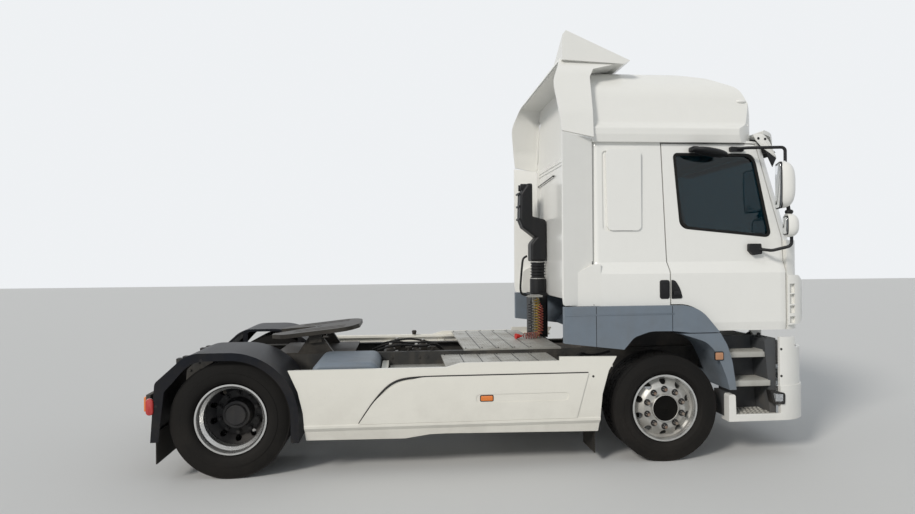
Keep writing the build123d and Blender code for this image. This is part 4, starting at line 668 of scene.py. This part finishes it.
# Thin dark shut lines: the joint down each cab side and through the arch trim
SEAM_HALF = 0.0025
SEAM_X = 0.905
bm = bmesh.new()
slab(bm, rounded((SEAM_X - SEAM_HALF, 1.411), (SEAM_X + SEAM_HALF, 1.806), 0), lambda a, b: (a, -0.003, b),
     (0, 0.0042, 0))
drape(bm, -1)
for x, low in ((SEAM_X, 1.050), (1.600, 1.180)):
    plate(bm, rounded((x - SEAM_HALF, low), (x + SEAM_HALF, 1.404), 0), ARCH_FACE - 0.001, 0.002, bevel=0)
piece("side_seams", bm, black_plastic, "cab", mirror=True)

# Flat pieces on both sides: name, plane, thickness, edge run, finish, body, outline
FLAT_PIECES = [
    ("arch_ridge", ARCH_FACE, 0.004, 0.002, grey_plastic, "cab",
     [(0.622, 1.326, 0.004), (1.62, 1.326, 0.010), (1.62, 1.338, 0.010), (0.622, 1.338, 0.004)]),
    ("tail_side_lens", 1.262, 0.030, 0.011, lens_red, "chassis",
     rounded((-2.915, 0.566), (-2.853, 0.708), 0.0305)),
    ("corner_lamp_frames", 1.150, 0.082, 0.006, black_plastic, "chassis",
     [(2.520, 0.620, 0.012), (2.662, 0.594, 0.016), (2.660, 0.490, 0.016), (2.545, 0.502, 0.016)]),
    ("corner_lamp_lenses", 1.230, 0.006, 0.002, lens_clear, "chassis",
     [(2.545, 0.598, 0.008), (2.632, 0.582, 0.010), (2.630, 0.512, 0.010), (2.562, 0.518, 0.010)]),
    ("visor_side_plates", VISOR_FACE, 0.009, 0.003, white_plastic, "cab",
     [(2.435, 2.966, 0.015), (2.530, 2.972, 0.015), (2.590, 2.915, 0.05), (2.664, 2.748, 0.010),
      (2.530, 2.838, 0.010), (2.463, 2.910, 0.015)]),
    # Black plates below each visor side plate's lower edge: painted shade where the visor's dark underside
    # shows
    ("visor_stays", VISOR_FACE, 0.007, 0.002, black_plastic, "cab",
     [(2.545, 2.826, 0.004), (2.662, 2.747, 0.004), (2.622, 2.662, 0.004), (2.590, 2.735, 0.010)]),
]
for name, y, thickness, bevel, material, body, outline in FLAT_PIECES:
    bm = bmesh.new()
    plate(bm, outline, y, thickness, bevel=bevel)
    piece(name, bm, material, body, mirror=True)

# Amber side markers with black bezels, on the lower arches and in the skirts' channels
MARKERS = [("arch_markers", lens_dull, (1.989, 0.916), (2.060, 0.980), ARCH_FACE),
           ("skirt_markers", lens_amber, (-0.128, 0.604), (-0.022, 0.648), SKIRT_FACE)]
MARKER_BARS = 5
bezels = bmesh.new()
for name, material, low, high, face in MARKERS:
    bm = bmesh.new()
    plate(bezels, rounded((low[0] - 0.008, low[1] - 0.008), (high[0] + 0.008, high[1] + 0.008), 0.014), face,
          0.010, bevel=0.003)
    plate(bm, rounded(low, high, 0.010), face + 0.006, 0.012, bevel=0.005)
    for i in range(MARKER_BARS):
        x = low[0] + (high[0] - low[0]) * (i + 0.5) / MARKER_BARS
        plate(bm, rounded((x - 0.004, low[1] + 0.008), (x + 0.004, high[1] - 0.008), 0.003), face + 0.016,
              0.0035, bevel=0.001)
    piece(name, bm, material, "chassis", mirror=True)
piece("side_marker_bezels", bezels, black_plastic, "chassis", mirror=True)

# Tail lamps: ribbed lens in three colours before a dark back
LENS_REAR = -2.966
LENS_BARS = 6
LENS_BAR_STEP = 0.0192
LENS_SECTIONS = [("red", lens_red, 0.840, 0.985), ("clear", lens_clear, 0.990, 1.060),
                 ("amber", lens_amber, 1.065, 1.186)]
for label, material, near, far in LENS_SECTIONS:
    bm = bmesh.new()
    block(bm, (LENS_REAR, -2.944), (-far, -near), (0.578, 0.702), bevel=0.006, segments=3)
    for i in range(LENS_BARS):
        z = 0.592 + i * LENS_BAR_STEP
        block(bm, (LENS_REAR - 0.002, LENS_REAR + 0.004), (-far + 0.008, -near - 0.008), (z, z + 0.007),
              bevel=0.0015)
    piece(f"tail_lens_{label}", bm, material, "chassis", mirror=True)
bm = bmesh.new()
block(bm, (-2.905, -2.850), (-1.186, -0.85), (0.60, 0.68), bevel=0.008)
piece("tail_lamp_backs", bm, black_plastic, "chassis", mirror=True)

# Chequered reflectors in the corner lamps of the step wells
bm = bmesh.new()
for i in range(6):
    for j in range(5):
        x, z = 2.568 + i * 0.0115, 0.524 + j * 0.0125
        block(bm, (x, x + 0.009), (-1.2375, -1.2355), (z, z + 0.010), bevel=0.0008)
piece("corner_lamp_reflectors", bm, chrome, "chassis", mirror=True)

# Headlamp reflectors with bulbs, seen through the lens blocks
bm = bmesh.new()
for y in (-0.720, -0.865):
    made = bmesh.ops.create_cone(bm, cap_ends=True, segments=48, radius1=0.030, radius2=0.068, depth=0.040)
    put(bm, made["verts"], (2.905, y, 0.665), math.pi / 2, "Y")
    rod(bm, (2.925, y, 0.665), (2.940, y, 0.665), 0.016, 24, 0.010)
piece("headlamp_reflectors", bm, chrome, "chassis", mirror=True)

# Grille lining behind the lid's slots: fine upright bars on a dark back
GRILLE_BARS = 57
GRILLE_BAR_STEP = 0.024
bm = bmesh.new()
block(bm, (2.885, 2.890), (-0.70, 0.70), (1.230, 1.800), bevel=0.002)
for i in range(GRILLE_BARS):
    y = -0.672 + i * GRILLE_BAR_STEP
    block(bm, (2.889, 2.898), (y - 0.0025, y + 0.0025), (1.240, 1.790), bevel=0)
piece("grille_lining", bm, black_plastic, "lid")

# Visor: a black sheet underneath with its cheeks, which paints the shade under the visor, and two fixings in
# each side plate
bm = bmesh.new()
slab(bm, [(2.740, 2.803), (2.632, 2.951), (2.540, 2.966), (2.540, 2.958), (2.626, 2.943), (2.732, 2.801)],
     lambda a, b: (a, -0.86, b), (0, 1.72, 0))
for y in (-1.050, 1.040):
    slab(bm, [(2.500, 2.915), (2.600, 2.905), (2.700, 2.810), (2.560, 2.800)], lambda a, b: (a, y, b),
         (0, 0.010, 0))
piece("visor_underside_shade", bm, black_plastic, "cab")
bm = bmesh.new()
bolts(bm, [(2.487, -1.127, 2.927), (2.552, -1.127, 2.922)], (0, -1, 0), head=0.009, height=0.004)
piece("visor_fixings", bm, black_plastic, "cab", mirror=True)

# Round fixings of the bumper, skirts and mudguards, and a black bead along each skirt's raised panel that
# paints the shadow at the panel's edge
FIXINGS = [(2.640, 0.990, 1.2045, 0.011), (2.640, 0.745, 1.2045, 0.011), (0.873, 0.793, 1.2445, 0.010),
           (-2.835, 0.640, 1.2775, 0.012), (-2.470, 1.010, 1.2775, 0.013)]
bm = bmesh.new()
for x, z, y, radius in FIXINGS:
    rod(bm, (x, -y, z), (x, -y - 0.0025, z), radius, 24)
piece("dark_fixings", bm, black_plastic, "chassis", mirror=True)
# Bead line and its width at each point: a painted shadow under the raised panel's edge, widest round the
# curve
BEAD = [(-1.179, 0.440), (-1.10, 0.560), (-0.996, 0.690), (-0.90, 0.775), (-0.80, 0.812), (-0.62, 0.826),
        (-0.30, 0.829), (0.828, 0.829)]
tube("skirt_shadow_beads", [(x, -1.2455, z) for x, z in BEAD], 0.0085, black_plastic, "chassis",
     widths=[0.5, 0.8, 1.0, 1.2, 1.2, 0.9, 0.6, 0.5], mirrored=True)

# Step treads: grip bars on the upper steps, pressed cups on the lowest, and raised tread ends
STEP_END = -0.915
GRIP_STEP = 0.020
CUP_FOOT = 0.402
CUP_STEP = 0.042
CUP_ROW_STEP = 0.062
TREADS = [
    (0.911, 0.048, 0.004, [(2.141, STEP_END), (2.141, -1.128, 0.015), (2.170, -1.134, 0.02), (2.557, -1.134),
                           (2.557, STEP_END)]),
    (0.651, 0.051, 0.004, [(2.214, STEP_END), (2.208, -1.165, 0.015), (2.557, -1.169), (2.557, STEP_END)]),
    (0.3995, 0.0035, 0.001, [(2.210, STEP_END), (2.210, -1.187), (2.607, -1.187), (2.607, STEP_END)]),
]
bm = bmesh.new()
for low, thickness, bevel, outline in TREADS:
    slab(bm, outline, lambda a, b: (a, b, low), (0, 0, thickness), bevel=bevel)
for first, count, outer, z in ((2.150, 21, -1.118, 0.957), (2.215, 17, -1.153, 0.700)):
    for i in range(count):
        x = first + GRIP_STEP * i
        block(bm, (x, x + 0.008), (outer, -0.925), (z, z + 0.008), bevel=0)
block(bm, (2.142, 2.170), (-1.120, -0.93), (0.950, 0.976), bevel=0.006)
block(bm, (2.520, 2.556), (-1.120, -0.93), (0.950, 0.996), bevel=0.010)
CUP = [(0, 0.0155), (0.010, 0.0135), (0.010, 0.0085), (0.0, 0.0085)]
for i in range(7):
    for j in range(4):
        x = 2.285 + i * CUP_STEP + (CUP_STEP / 2 if j % 2 else 0)
        y = -1.155 + j * CUP_ROW_STEP
        rail = [bm.verts.new((x + radius, y, CUP_FOOT + lift)) for lift, radius in CUP]
        edges = [bm.edges.new(pair) for pair in zip(rail, rail[1:])]
        bmesh.ops.spin(bm, geom=rail + edges, cent=(x, y, 0), axis=(0, 0, 1), angle=math.tau, steps=10,
                       use_merge=True, use_duplicate=False)
outward(bm)
piece("step_treads", bm, tread_plastic, "chassis", mirror=True)


# Roof marker lamps, set on the roof's skin
LAMP_X = 2.356
LAMP_Z = 3.280
DOT_X = 2.403
DOT_Z = 3.055


def out_from(node, x, z):
    """How far the right-hand skin of a node stands from the middle plane at (x, z)."""
    hit, at = node.ray_cast(Vector((x, -3, z)), Vector((0, 1, 0)))[:2]
    return -at.y if hit else 1.0


bm = bmesh.new()
lamp_y = out_from(nodes["high_roof"], LAMP_X, LAMP_Z)
made = bmesh.ops.create_uvsphere(bm, u_segments=32, v_segments=16, radius=1.0)["verts"]
bmesh.ops.scale(bm, vec=(0.045, 0.018, 0.016), verts=made)
bmesh.ops.translate(bm, vec=(LAMP_X, -lamp_y - 0.002, LAMP_Z), verts=made)
dot_y = out_from(nodes["high_roof"], DOT_X, DOT_Z)
rod(bm, (DOT_X, -dot_y + 0.002, DOT_Z), (DOT_X, -dot_y - 0.006, DOT_Z), 0.010, 20, 0.008)
piece("roof_markers", bm, lens_pale, "cab", mirror=True)

# Mirror heads as smooth shells with their links, black edges and glasses, and the mirror over the kerb
TURN = math.radians(-18)
HEADS = [((2.559, -1.325), 2.262, 2.672, 0.104), ((2.617, -1.330), 2.028, 2.196, 0.080)]


def handed(name, bm, material, side, slot=None, replaced=()):
    """Piece made on the right-hand side, set on either door."""
    if side == "left":
        flip(bm)
    outward(bm)
    piece(name, bm, material, f"{side}_door", slot, replaced)


for side in ("left", "right"):
    bm = bmesh.new()
    shell(bm, (0.124, 0.1240, 0.208), 3.0, 0.002, (2.559, -1.3255, 2.474), TURN)
    shell(bm, (0.102, 0.0940, 0.106), 2.7, 0.002, (2.617, -1.330, 2.112), TURN)
    handed(f"mirror_heads_{side}", bm, white_plastic, side, replaced=[f"mirrors_{side}"])
    bm = bmesh.new()
    rod(bm, (2.650, -1.345, 2.150), (2.625, -1.340, 2.340), 0.016, 20)
    shell(bm, (0.034, 0.030, 0.022), 2.4, -1, (2.640, -1.343, 2.2330), 0)
    handed(f"mirror_links_{side}", bm, black_plastic, side)
bm = bmesh.new()
shell(bm, (0.158, 0.098, 0.034), 2.3, -1, (1.964, -1.240, 2.779), 0.17, "Y")
block(bm, (1.812, 1.880), (-1.225, -1.128), (2.790, 2.836), bevel=0.012)
block(bm, (1.935, 1.985), (-1.180, -1.118), (2.796, 2.830), bevel=0.008)
handed("kerb_mirror_shell", bm, black_plastic, "right", replaced=["kerb_mirror"])
for side in ("left", "right"):
    for label, material, slot, shrink, low_x, high_x in (
            ("edge", black_plastic, "black_plastic", 0.0, -0.006, 0.004),
            ("glass", chrome, "window_glass", 0.010, -0.0085, -0.004)):
        bm = bmesh.new()
        for at, low, high, half in HEADS:
            part = bmesh.new()
            slab(part, rounded((-half + shrink, low + shrink), (half - shrink, high - shrink), 0.030),
                 lambda a, b: (low_x, a, b), (high_x - low_x, 0, 0), bevel=0.0015)
            put(part, part.verts[:], (*at, 0), TURN)
            join(bm, part)
        handed(f"mirror_{label}_{side}", bm, material, side, slot)


# Wipers parked along the foot of the windscreen
SCREEN_FOOT_X = 2.85
SCREEN_FOOT_Z = 1.985
SCREEN_LEAN = 0.250 / 0.865
ARM_TOP = 2.085


def screen_x(z):
    """Outer face of the windscreen at height z."""
    return SCREEN_FOOT_X - SCREEN_LEAN * (z - SCREEN_FOOT_Z)


face_x = screen_x(ARM_TOP)
for i, (pivot_y, tip_y) in enumerate(((-0.78, -0.12), (-0.08, 0.56), (0.60, 0.90))):
    blade = (pivot_y + 0.12, tip_y)
    bm = bmesh.new()
    rod(bm, (screen_x(1.995) + 0.004, pivot_y, 1.995), (screen_x(1.995) + 0.040, pivot_y, 2.000), 0.018, 24)
    rod(bm, (screen_x(2.000) + 0.032, pivot_y, 2.000), (face_x + 0.020, sum(blade) / 2, ARM_TOP - 0.010),
        0.007, 12, 0.005)
    block(bm, (face_x + 0.004, face_x + 0.012), blade, (ARM_TOP - 0.016, ARM_TOP - 0.004), bevel=0.002)
    block(bm, (face_x - 0.001, face_x + 0.005), blade, (ARM_TOP - 0.012, ARM_TOP - 0.007), bevel=0.001)
    piece(f"wiper_{i + 1}", bm, black_plastic, "cab")

# Walkway planks: ribs across them, dark joints between, and their fixings
WALKS = [((-0.190, 0.640), (-0.390, 1.170), 0.936), ((-0.410, 0.630), (-1.160, -0.415), 0.886)]
PLANK = 0.166
RIBS = 6
ribs = bmesh.new()
joints = bmesh.new()
for x, y, top in WALKS:
    count = int((x[1] - x[0]) / PLANK)
    width = (x[1] - x[0]) / count
    for i in range(count):
        start = x[0] + width * i
        for j in range(RIBS):
            middle = start + width * (j + 0.5) / RIBS
            block(ribs, (middle - 0.005, middle + 0.005), (y[0] + 0.01, y[1] - 0.01),
                  (top - 0.001, top + 0.0035), bevel=0)
        if i:
            block(joints, (start - 0.004, start + 0.004), y, (top - 0.002, top + 0.0012), bevel=0)
        bolts(joints, [(start + 0.02, end, top + 0.001) for end in (y[0] + 0.03, y[1] - 0.03)], (0, 0, 1),
              head=0.008, height=0.006)
piece("walkway_ribs", ribs, tread_plate, "chassis")
piece("walkway_joints", joints, black_plastic, "chassis")

# Frame bolts in groups down both rails
RAIL_FACE = 0.400
bm = bmesh.new()
for x in (-2.80, -2.50, -2.30, -2.10, -1.92, -1.30, -0.95, -0.60, -0.20, 0.10, 0.50, 0.80, 2.20, 2.50):
    bolts(bm, [(x + dx, -RAIL_FACE, z) for dx in (-0.04, 0.04) for z in (0.715, 0.790, 0.865)], (0, -1, 0),
          head=0.012, height=0.012)
piece("rail_bolts", bm, frame_paint, "chassis", mirror=True)

# Coupling plate: release bar and the ridges of its grease channels, leaned with the plate
LEAN = math.radians(-6)
PIVOT = Vector((-1.650, 0, 1.065))
RIDGE_Z = 1.1495
bm = bmesh.new()
rod(bm, (-1.55, -0.10, 1.105), (-1.55, -0.520, 1.085), 0.011, 14)
rod(bm, (-1.55, -0.520, 1.085), (-1.50, -0.560, 1.085), 0.011, 14)
for y in (-0.34, -0.22, 0.22, 0.34):
    rod(bm, (-1.86, y, RIDGE_Z), (-1.36, y * 1.05, RIDGE_Z), 0.0035, 8)
bmesh.ops.rotate(bm, cent=PIVOT, matrix=Matrix.Rotation(LEAN, 3, "Y"), verts=bm.verts[:])
piece("coupling_release", bm, cast_iron, "plate")

# Hose clamps round the bellows, the duct's clips, and the dark hook that guides the lines
BELLOWS_X = 0.815
BELLOWS_Y = 0.750
bm = bmesh.new()
for z in (1.597, 1.786):
    rod(bm, (BELLOWS_X, BELLOWS_Y, z - 0.005), (BELLOWS_X, BELLOWS_Y, z + 0.005), 0.0815, 48)
    block(bm, (0.725, 0.745), (0.735, 0.765), (z - 0.007, z + 0.007), bevel=0.002)
piece("hose_clamps", bm, rim_paint, "chassis")
bm = bmesh.new()
for z in (2.30, 2.45, 2.60):
    block(bm, (0.574, 0.590), (0.650, 0.850), (z - 0.012, z + 0.012))
for y in (0.672, 0.810):
    block(bm, (0.60, 0.735), (y, y + 0.018), (2.640, 2.715), bevel=0.006)
piece("duct_clips", bm, black_plastic, "cab")
tube("line_hook", [(0.640, 0.400, 1.416), (0.560, 0.380, 1.420), (0.524, 0.350, 1.470), (0.535, 0.330, 1.650),
                   (0.548, 0.320, 1.800), (0.560, 0.320, 1.845), (0.600, 0.320, 1.862)],
     0.012, black_plastic, "chassis", sides=5)

# Hoses, valves and round-headed fillings between the rails and under the cab's rear edge
HOSES = {
    "brake_hose_1": [(-1.05, -0.30, 0.93), (-0.85, -0.27, 0.99), (-0.60, -0.30, 0.95), (-0.45, -0.24, 0.99),
                     (-0.38, -0.20, 0.90)],
    "brake_hose_2": [(-1.10, -0.16, 0.92), (-0.90, -0.20, 1.01), (-0.70, -0.12, 0.96), (-0.52, -0.18, 1.00),
                     (-0.40, -0.10, 0.90)],
    "brake_hose_3": [(-1.00, 0.22, 0.93), (-0.80, 0.18, 0.98), (-0.62, 0.26, 0.96), (-0.42, 0.20, 0.91)],
    "cab_hose_1": [(0.66, -0.98, 0.84), (0.74, -1.02, 0.93), (0.86, -1.04, 0.96), (0.98, -1.02, 0.93),
                   (1.10, -1.00, 0.84)],
    "cab_hose_2": [(0.68, -0.90, 0.82), (0.82, -0.96, 0.98), (0.95, -0.92, 0.91), (1.12, -0.96, 0.97)],
}
for name, points in HOSES.items():
    tube(name, points, 0.011, rubber, "chassis", sides=3)
valves = bmesh.new()
unions = bmesh.new()
for x, y in ((-0.92, -0.20), (-0.66, -0.26), (-0.58, 0.10), (-0.86, 0.24)):
    block(valves, (x - 0.045, x + 0.045), (y - 0.040, y + 0.040), (0.860, 0.935), bevel=0.010)
    rod(valves, (x, y, 0.93), (x, y, 0.972), 0.030, 24, 0.026)
    rod(unions, (x, y, 0.970), (x, y, 0.984), 0.018, 6)
    rod(unions, (x + 0.04, y, 0.90), (x + 0.075, y, 0.90), 0.011, 6)
for x in (-0.74, -0.50):
    rod(valves, (x, -0.330, 0.86), (x, -0.330, 0.965), 0.013, 16)
    rod(valves, (x - 0.032, -0.330, 0.955), (x + 0.032, -0.330, 0.955), 0.010, 12)
rod(valves, (-0.655, 1.180, 0.905), (-0.655, 1.180, 0.945), 0.022, 24, 0.030)
rod(valves, (-0.655, 1.180, 0.943), (-0.655, 1.180, 0.956), 0.031, 24, 0.022)
piece("frame_valves", valves, cast_iron, "chassis")
piece("frame_unions", unions, rim_paint, "chassis")

# Stay rod and pressings on the cab's rear wall, and the webs that close the deflector to the roof
WALL_X = 0.912
OUTER_END = (1.085, 2.717)
INNER_END = (0.275, 2.754)
bm = bmesh.new()
rod(bm, (0.893, *OUTER_END), (0.893, *INNER_END), 0.006, 12)
rod(bm, (WALL_X, *OUTER_END), (0.884, *OUTER_END), 0.014, 20)
rod(bm, (WALL_X, *INNER_END), (0.888, *INNER_END), 0.009, 16)
piece("wall_rod", bm, black_plastic, "cab")
bm = bmesh.new()
for z in (2.825, 2.862):
    block(bm, (0.903, 0.913), (-1.080, 1.080), (z, z + 0.012))
piece("wall_ribs", bm, white_plastic, "cab")
WEB = [(-1.185, 2.950), (-1.172, 3.050), (-1.164, 3.150), (-1.136, 3.300), (-1.100, 3.420), (-1.065, 3.520),
       (-1.000, 3.500), (-1.020, 3.400), (-1.065, 3.200), (-1.100, 3.060), (-1.140, 3.010), (-1.140, 2.950)]
bm = bmesh.new()
slab(bm, WEB, lambda a, b: (0.897, a, b), (0.012, 0, 0))
piece("deflector_webs", bm, white_plastic, "cab", mirror=True)

# Seats and bunk: padded forms with sewn channels
PAD_CUTS = 15
DRAWN_IN = 0.05
CHANNEL_DEPTH = 0.009
PIPING = 1.012
SEAT_Y = 0.63
BACK_TILT = math.radians(-79)


def padded(name, size, crown, middle, tilt=0.0, channels=(), along=0, replaced=()):
    """Padded block, crowned above and drawn in between its corners, with sewn channels; it is turned about
    the cross axis by tilt and put at its middle."""
    bm = bmesh.new()
    bmesh.ops.create_cube(bm, size=2.0)
    bmesh.ops.subdivide_edges(bm, edges=bm.edges[:], cuts=PAD_CUTS, use_grid_fill=True)
    for vert in bm.verts:
        share = vert.co.copy()
        bulge = (1 - share.x ** 4) * (1 - share.y ** 4)
        vert.co.x *= 1 - DRAWN_IN * (1 - share.y ** 2) * share.x ** 2
        vert.co.y *= 1 - DRAWN_IN * (1 - share.x ** 2) * share.y ** 2
        vert.co = Vector(vert.co[i] * size[i] / 2 for i in range(3))
        if share.z > 0:
            vert.co.z += crown * (bulge - 1) * share.z
            for channel in channels:
                if abs(share[along] - channel) < 1.2 / PAD_CUTS:
                    vert.co.z -= CHANNEL_DEPTH * share.z
        if abs(share.z) < 1.0 / PAD_CUTS:
            vert.co.x *= PIPING
            vert.co.y *= PIPING
    for again in range(3):
        bmesh.ops.smooth_vert(bm, verts=bm.verts[:], factor=0.4, use_axis_x=True, use_axis_y=True,
                              use_axis_z=True)
    put(bm, bm.verts[:], middle, tilt, "Y")
    made = piece(name, bm, cloth, "cab", replaced=replaced, smooth=0)
    finer = made.modifiers.new("finer", "SUBSURF")
    finer.levels = finer.render_levels = 1


for side, sign in SIDES:
    y = sign * SEAT_Y
    padded(f"seat_cushion_{side}", (0.46, 0.47, 0.13), 0.030, (1.935, y, 1.735), channels=(-0.45, 0.1, 0.6),
           replaced=["seats"])
    padded(f"seat_back_{side}", (0.53, 0.46, 0.105), 0.028, (1.655, y, 2.045), BACK_TILT, (-0.6, -0.15, 0.35),
           replaced=["seats"])
    padded(f"head_rest_{side}", (0.165, 0.27, 0.085), 0.022, (1.562, y, 2.388), BACK_TILT)
    bm = bmesh.new()
    block(bm, (1.69, 2.14), (y - 0.20, y + 0.20), (1.600, 1.672), bevel=0.02, segments=3)
    block(bm, (1.74, 1.82), (y - 0.13, y + 0.13), (1.455, 1.60), bevel=0.02)
    block(bm, (1.70, 2.10), (y - 0.17, y + 0.17), (1.452, 1.500), bevel=0.01)
    block(bm, (1.86, 2.02), (y - 0.11, y + 0.11), (1.490, 1.610), bevel=0.02)
    for post in (y - 0.07, y + 0.07):
        rod(bm, (1.592, post, 2.27), (1.572, post, 2.36), 0.007, 12)
    piece(f"seat_frame_{side}", bm, cabin_plastic, "cab")
padded("bunk_mattress", (0.43, 2.05, 0.135), 0.022, (1.200, 0, 1.781),
       channels=(-0.75, -0.5, -0.25, 0, 0.25, 0.5, 0.75), along=1, replaced=["bunk"])
bm = bmesh.new()
block(bm, (0.975, 1.395), (-0.995, 0.995), (1.455, 1.712), bevel=0.015, segments=3)
for y in (-0.5, 0.5):
    block(bm, (1.390, 1.399), (y - 0.30, y + 0.30), (1.500, 1.665), bevel=0.003)
piece("bunk_locker", bm, cabin_plastic, "cab", replaced=["bunk"])

# Curly air and power lines, each a long line wound round its own smooth route
LINE_DIAMETER = 0.010
COIL_RADIUS = 0.0315
POINTS_A_TURN = 14
PITCH_OF_COIL = 0.0300
END_RUN = 0.012
DRAW_IN = 0.030
# Colour: route, real length, far end
CURLY_TABLE = {
    "red": ([(0.750, 0.330, 1.330), (0.750, 0.330, 1.150), (0.750, 0.330, 0.972), (0.640, 0.300, 0.972),
             (0.520, 0.270, 0.972)], 3.39, "connector"),
    "yellow": ([(0.735, 0.440, 1.400), (0.735, 0.440, 1.168), (0.735, 0.440, 0.936)], 2.71, "object"),
    "black": ([(0.650, 0.390, 1.360), (0.650, 0.390, 1.148), (0.650, 0.390, 0.936)], 2.45, "object"),
}


def wound(route):
    """Helix of a curly line round its route, drawn in to the route at both ends."""
    shape = drawn_mesh(smooth_line("route", [route]))
    points = [vert.co.copy() for vert in shape.vertices]
    bpy.data.meshes.remove(shape)
    far = [0.0]
    for one, two in zip(points, points[1:]):
        far.append(far[-1] + (two - one).length)
    total = far[-1]
    steps = int(total / PITCH_OF_COIL * POINTS_A_TURN)
    beside = Vector((1, 0, 0))
    helix = [points[0]]
    at = 0
    for i in range(1, steps):
        run = total * i / steps
        while far[at + 1] < run:
            at += 1
        ahead = (points[at + 1] - points[at]).normalized()
        middle = points[at] + ahead * (run - far[at])
        beside = (beside - ahead * beside.dot(ahead)).normalized()
        turn = math.tau * i / POINTS_A_TURN
        reach = COIL_RADIUS * min(1.0, max(0.0, run - END_RUN) / DRAW_IN,
                                  max(0.0, total - run - END_RUN) / DRAW_IN)
        helix.append(middle + (beside * math.cos(turn) + ahead.cross(beside) * math.sin(turn)) * reach)
    return helix + [points[-1]]


for colour, (route, length, far_end) in CURLY_TABLE.items():
    name = f"curly_line_{colour}"
    slot = f"line_{colour}"
    line = smooth_line(name + "_cord", [wound(route)])
    line.resolution_u = 3
    line.bevel_depth = LINE_DIAMETER / 2
    line.bevel_resolution = 2
    cord = new_object(name + "_cord", line)
    line.materials.append(line_colours[colour])
    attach(cord, "chassis")
    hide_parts(name)
    if far_end == "connector":
        bm = bmesh.new()
        end, before = Vector(route[-1]), Vector(route[-2])
        ahead = (end - before).normalized()
        for low, high, radius, sides, end_radius in ((-0.002, 0.030, 0.012, 20, 0.012),
                                                     (0.028, 0.062, 0.024, 24, 0.027),
                                                     (0.058, 0.072, 0.031, 24, 0.031)):
            rod(bm, end + ahead * low, end + ahead * high, radius, sides, end_radius)
        piece(name + "_plug", bm, plug_red, "chassis")

# Floor
bm = bmesh.new()
bmesh.ops.create_grid(bm, x_segments=1, y_segments=1, size=40)
floor_mesh = bpy.data.meshes.new("floor")
bm.to_mesh(floor_mesh)
bm.free()
floor = new_object("floor", floor_mesh)
floor_material = bpy.data.materials.new("pale_floor")
floor_material.use_nodes = True
floor_shader = floor_material.node_tree.nodes["Principled BSDF"]
floor_shader.inputs["Base Color"].default_value = (0.62, 0.62, 0.61, 1)
floor_shader.inputs["Roughness"].default_value = 0.85
floor_mesh.materials.append(floor_material)

# Soft light from all round, a plain pale background for the camera, gloss and glass, and one broad key light
world = bpy.data.worlds.new("studio")
scene.world = world
world.use_nodes = True
tree = world.node_tree
tree.nodes.clear()
soft = add(tree, "ShaderNodeBackground", {"Color": (0.90, 0.95, 1.0, 1), "Strength": 0.52})
plain = add(tree, "ShaderNodeBackground", {"Color": (0.86, 0.88, 0.90, 1), "Strength": 1.0})
seen = add(tree, "ShaderNodeLightPath").outputs
shown = maths(tree, "MAXIMUM", seen["Is Camera Ray"], seen["Is Glossy Ray"])
shown = maths(tree, "MAXIMUM", shown, seen["Is Transmission Ray"])
mixer = add(tree, "ShaderNodeMixShader", {0: shown, 1: soft.outputs[0], 2: plain.outputs[0]})
add(tree, "ShaderNodeOutputWorld", {"Surface": mixer.outputs[0]})

sun = bpy.data.lights.new("key", "SUN")
sun.energy = 2.0
sun.angle = math.radians(12)
sun.color = (1.0, 0.96, 0.90)
key = new_object("key", sun)
key.rotation_euler = Vector((1.0, 1.0, -0.85)).to_track_quat("-Z", "Y").to_euler()
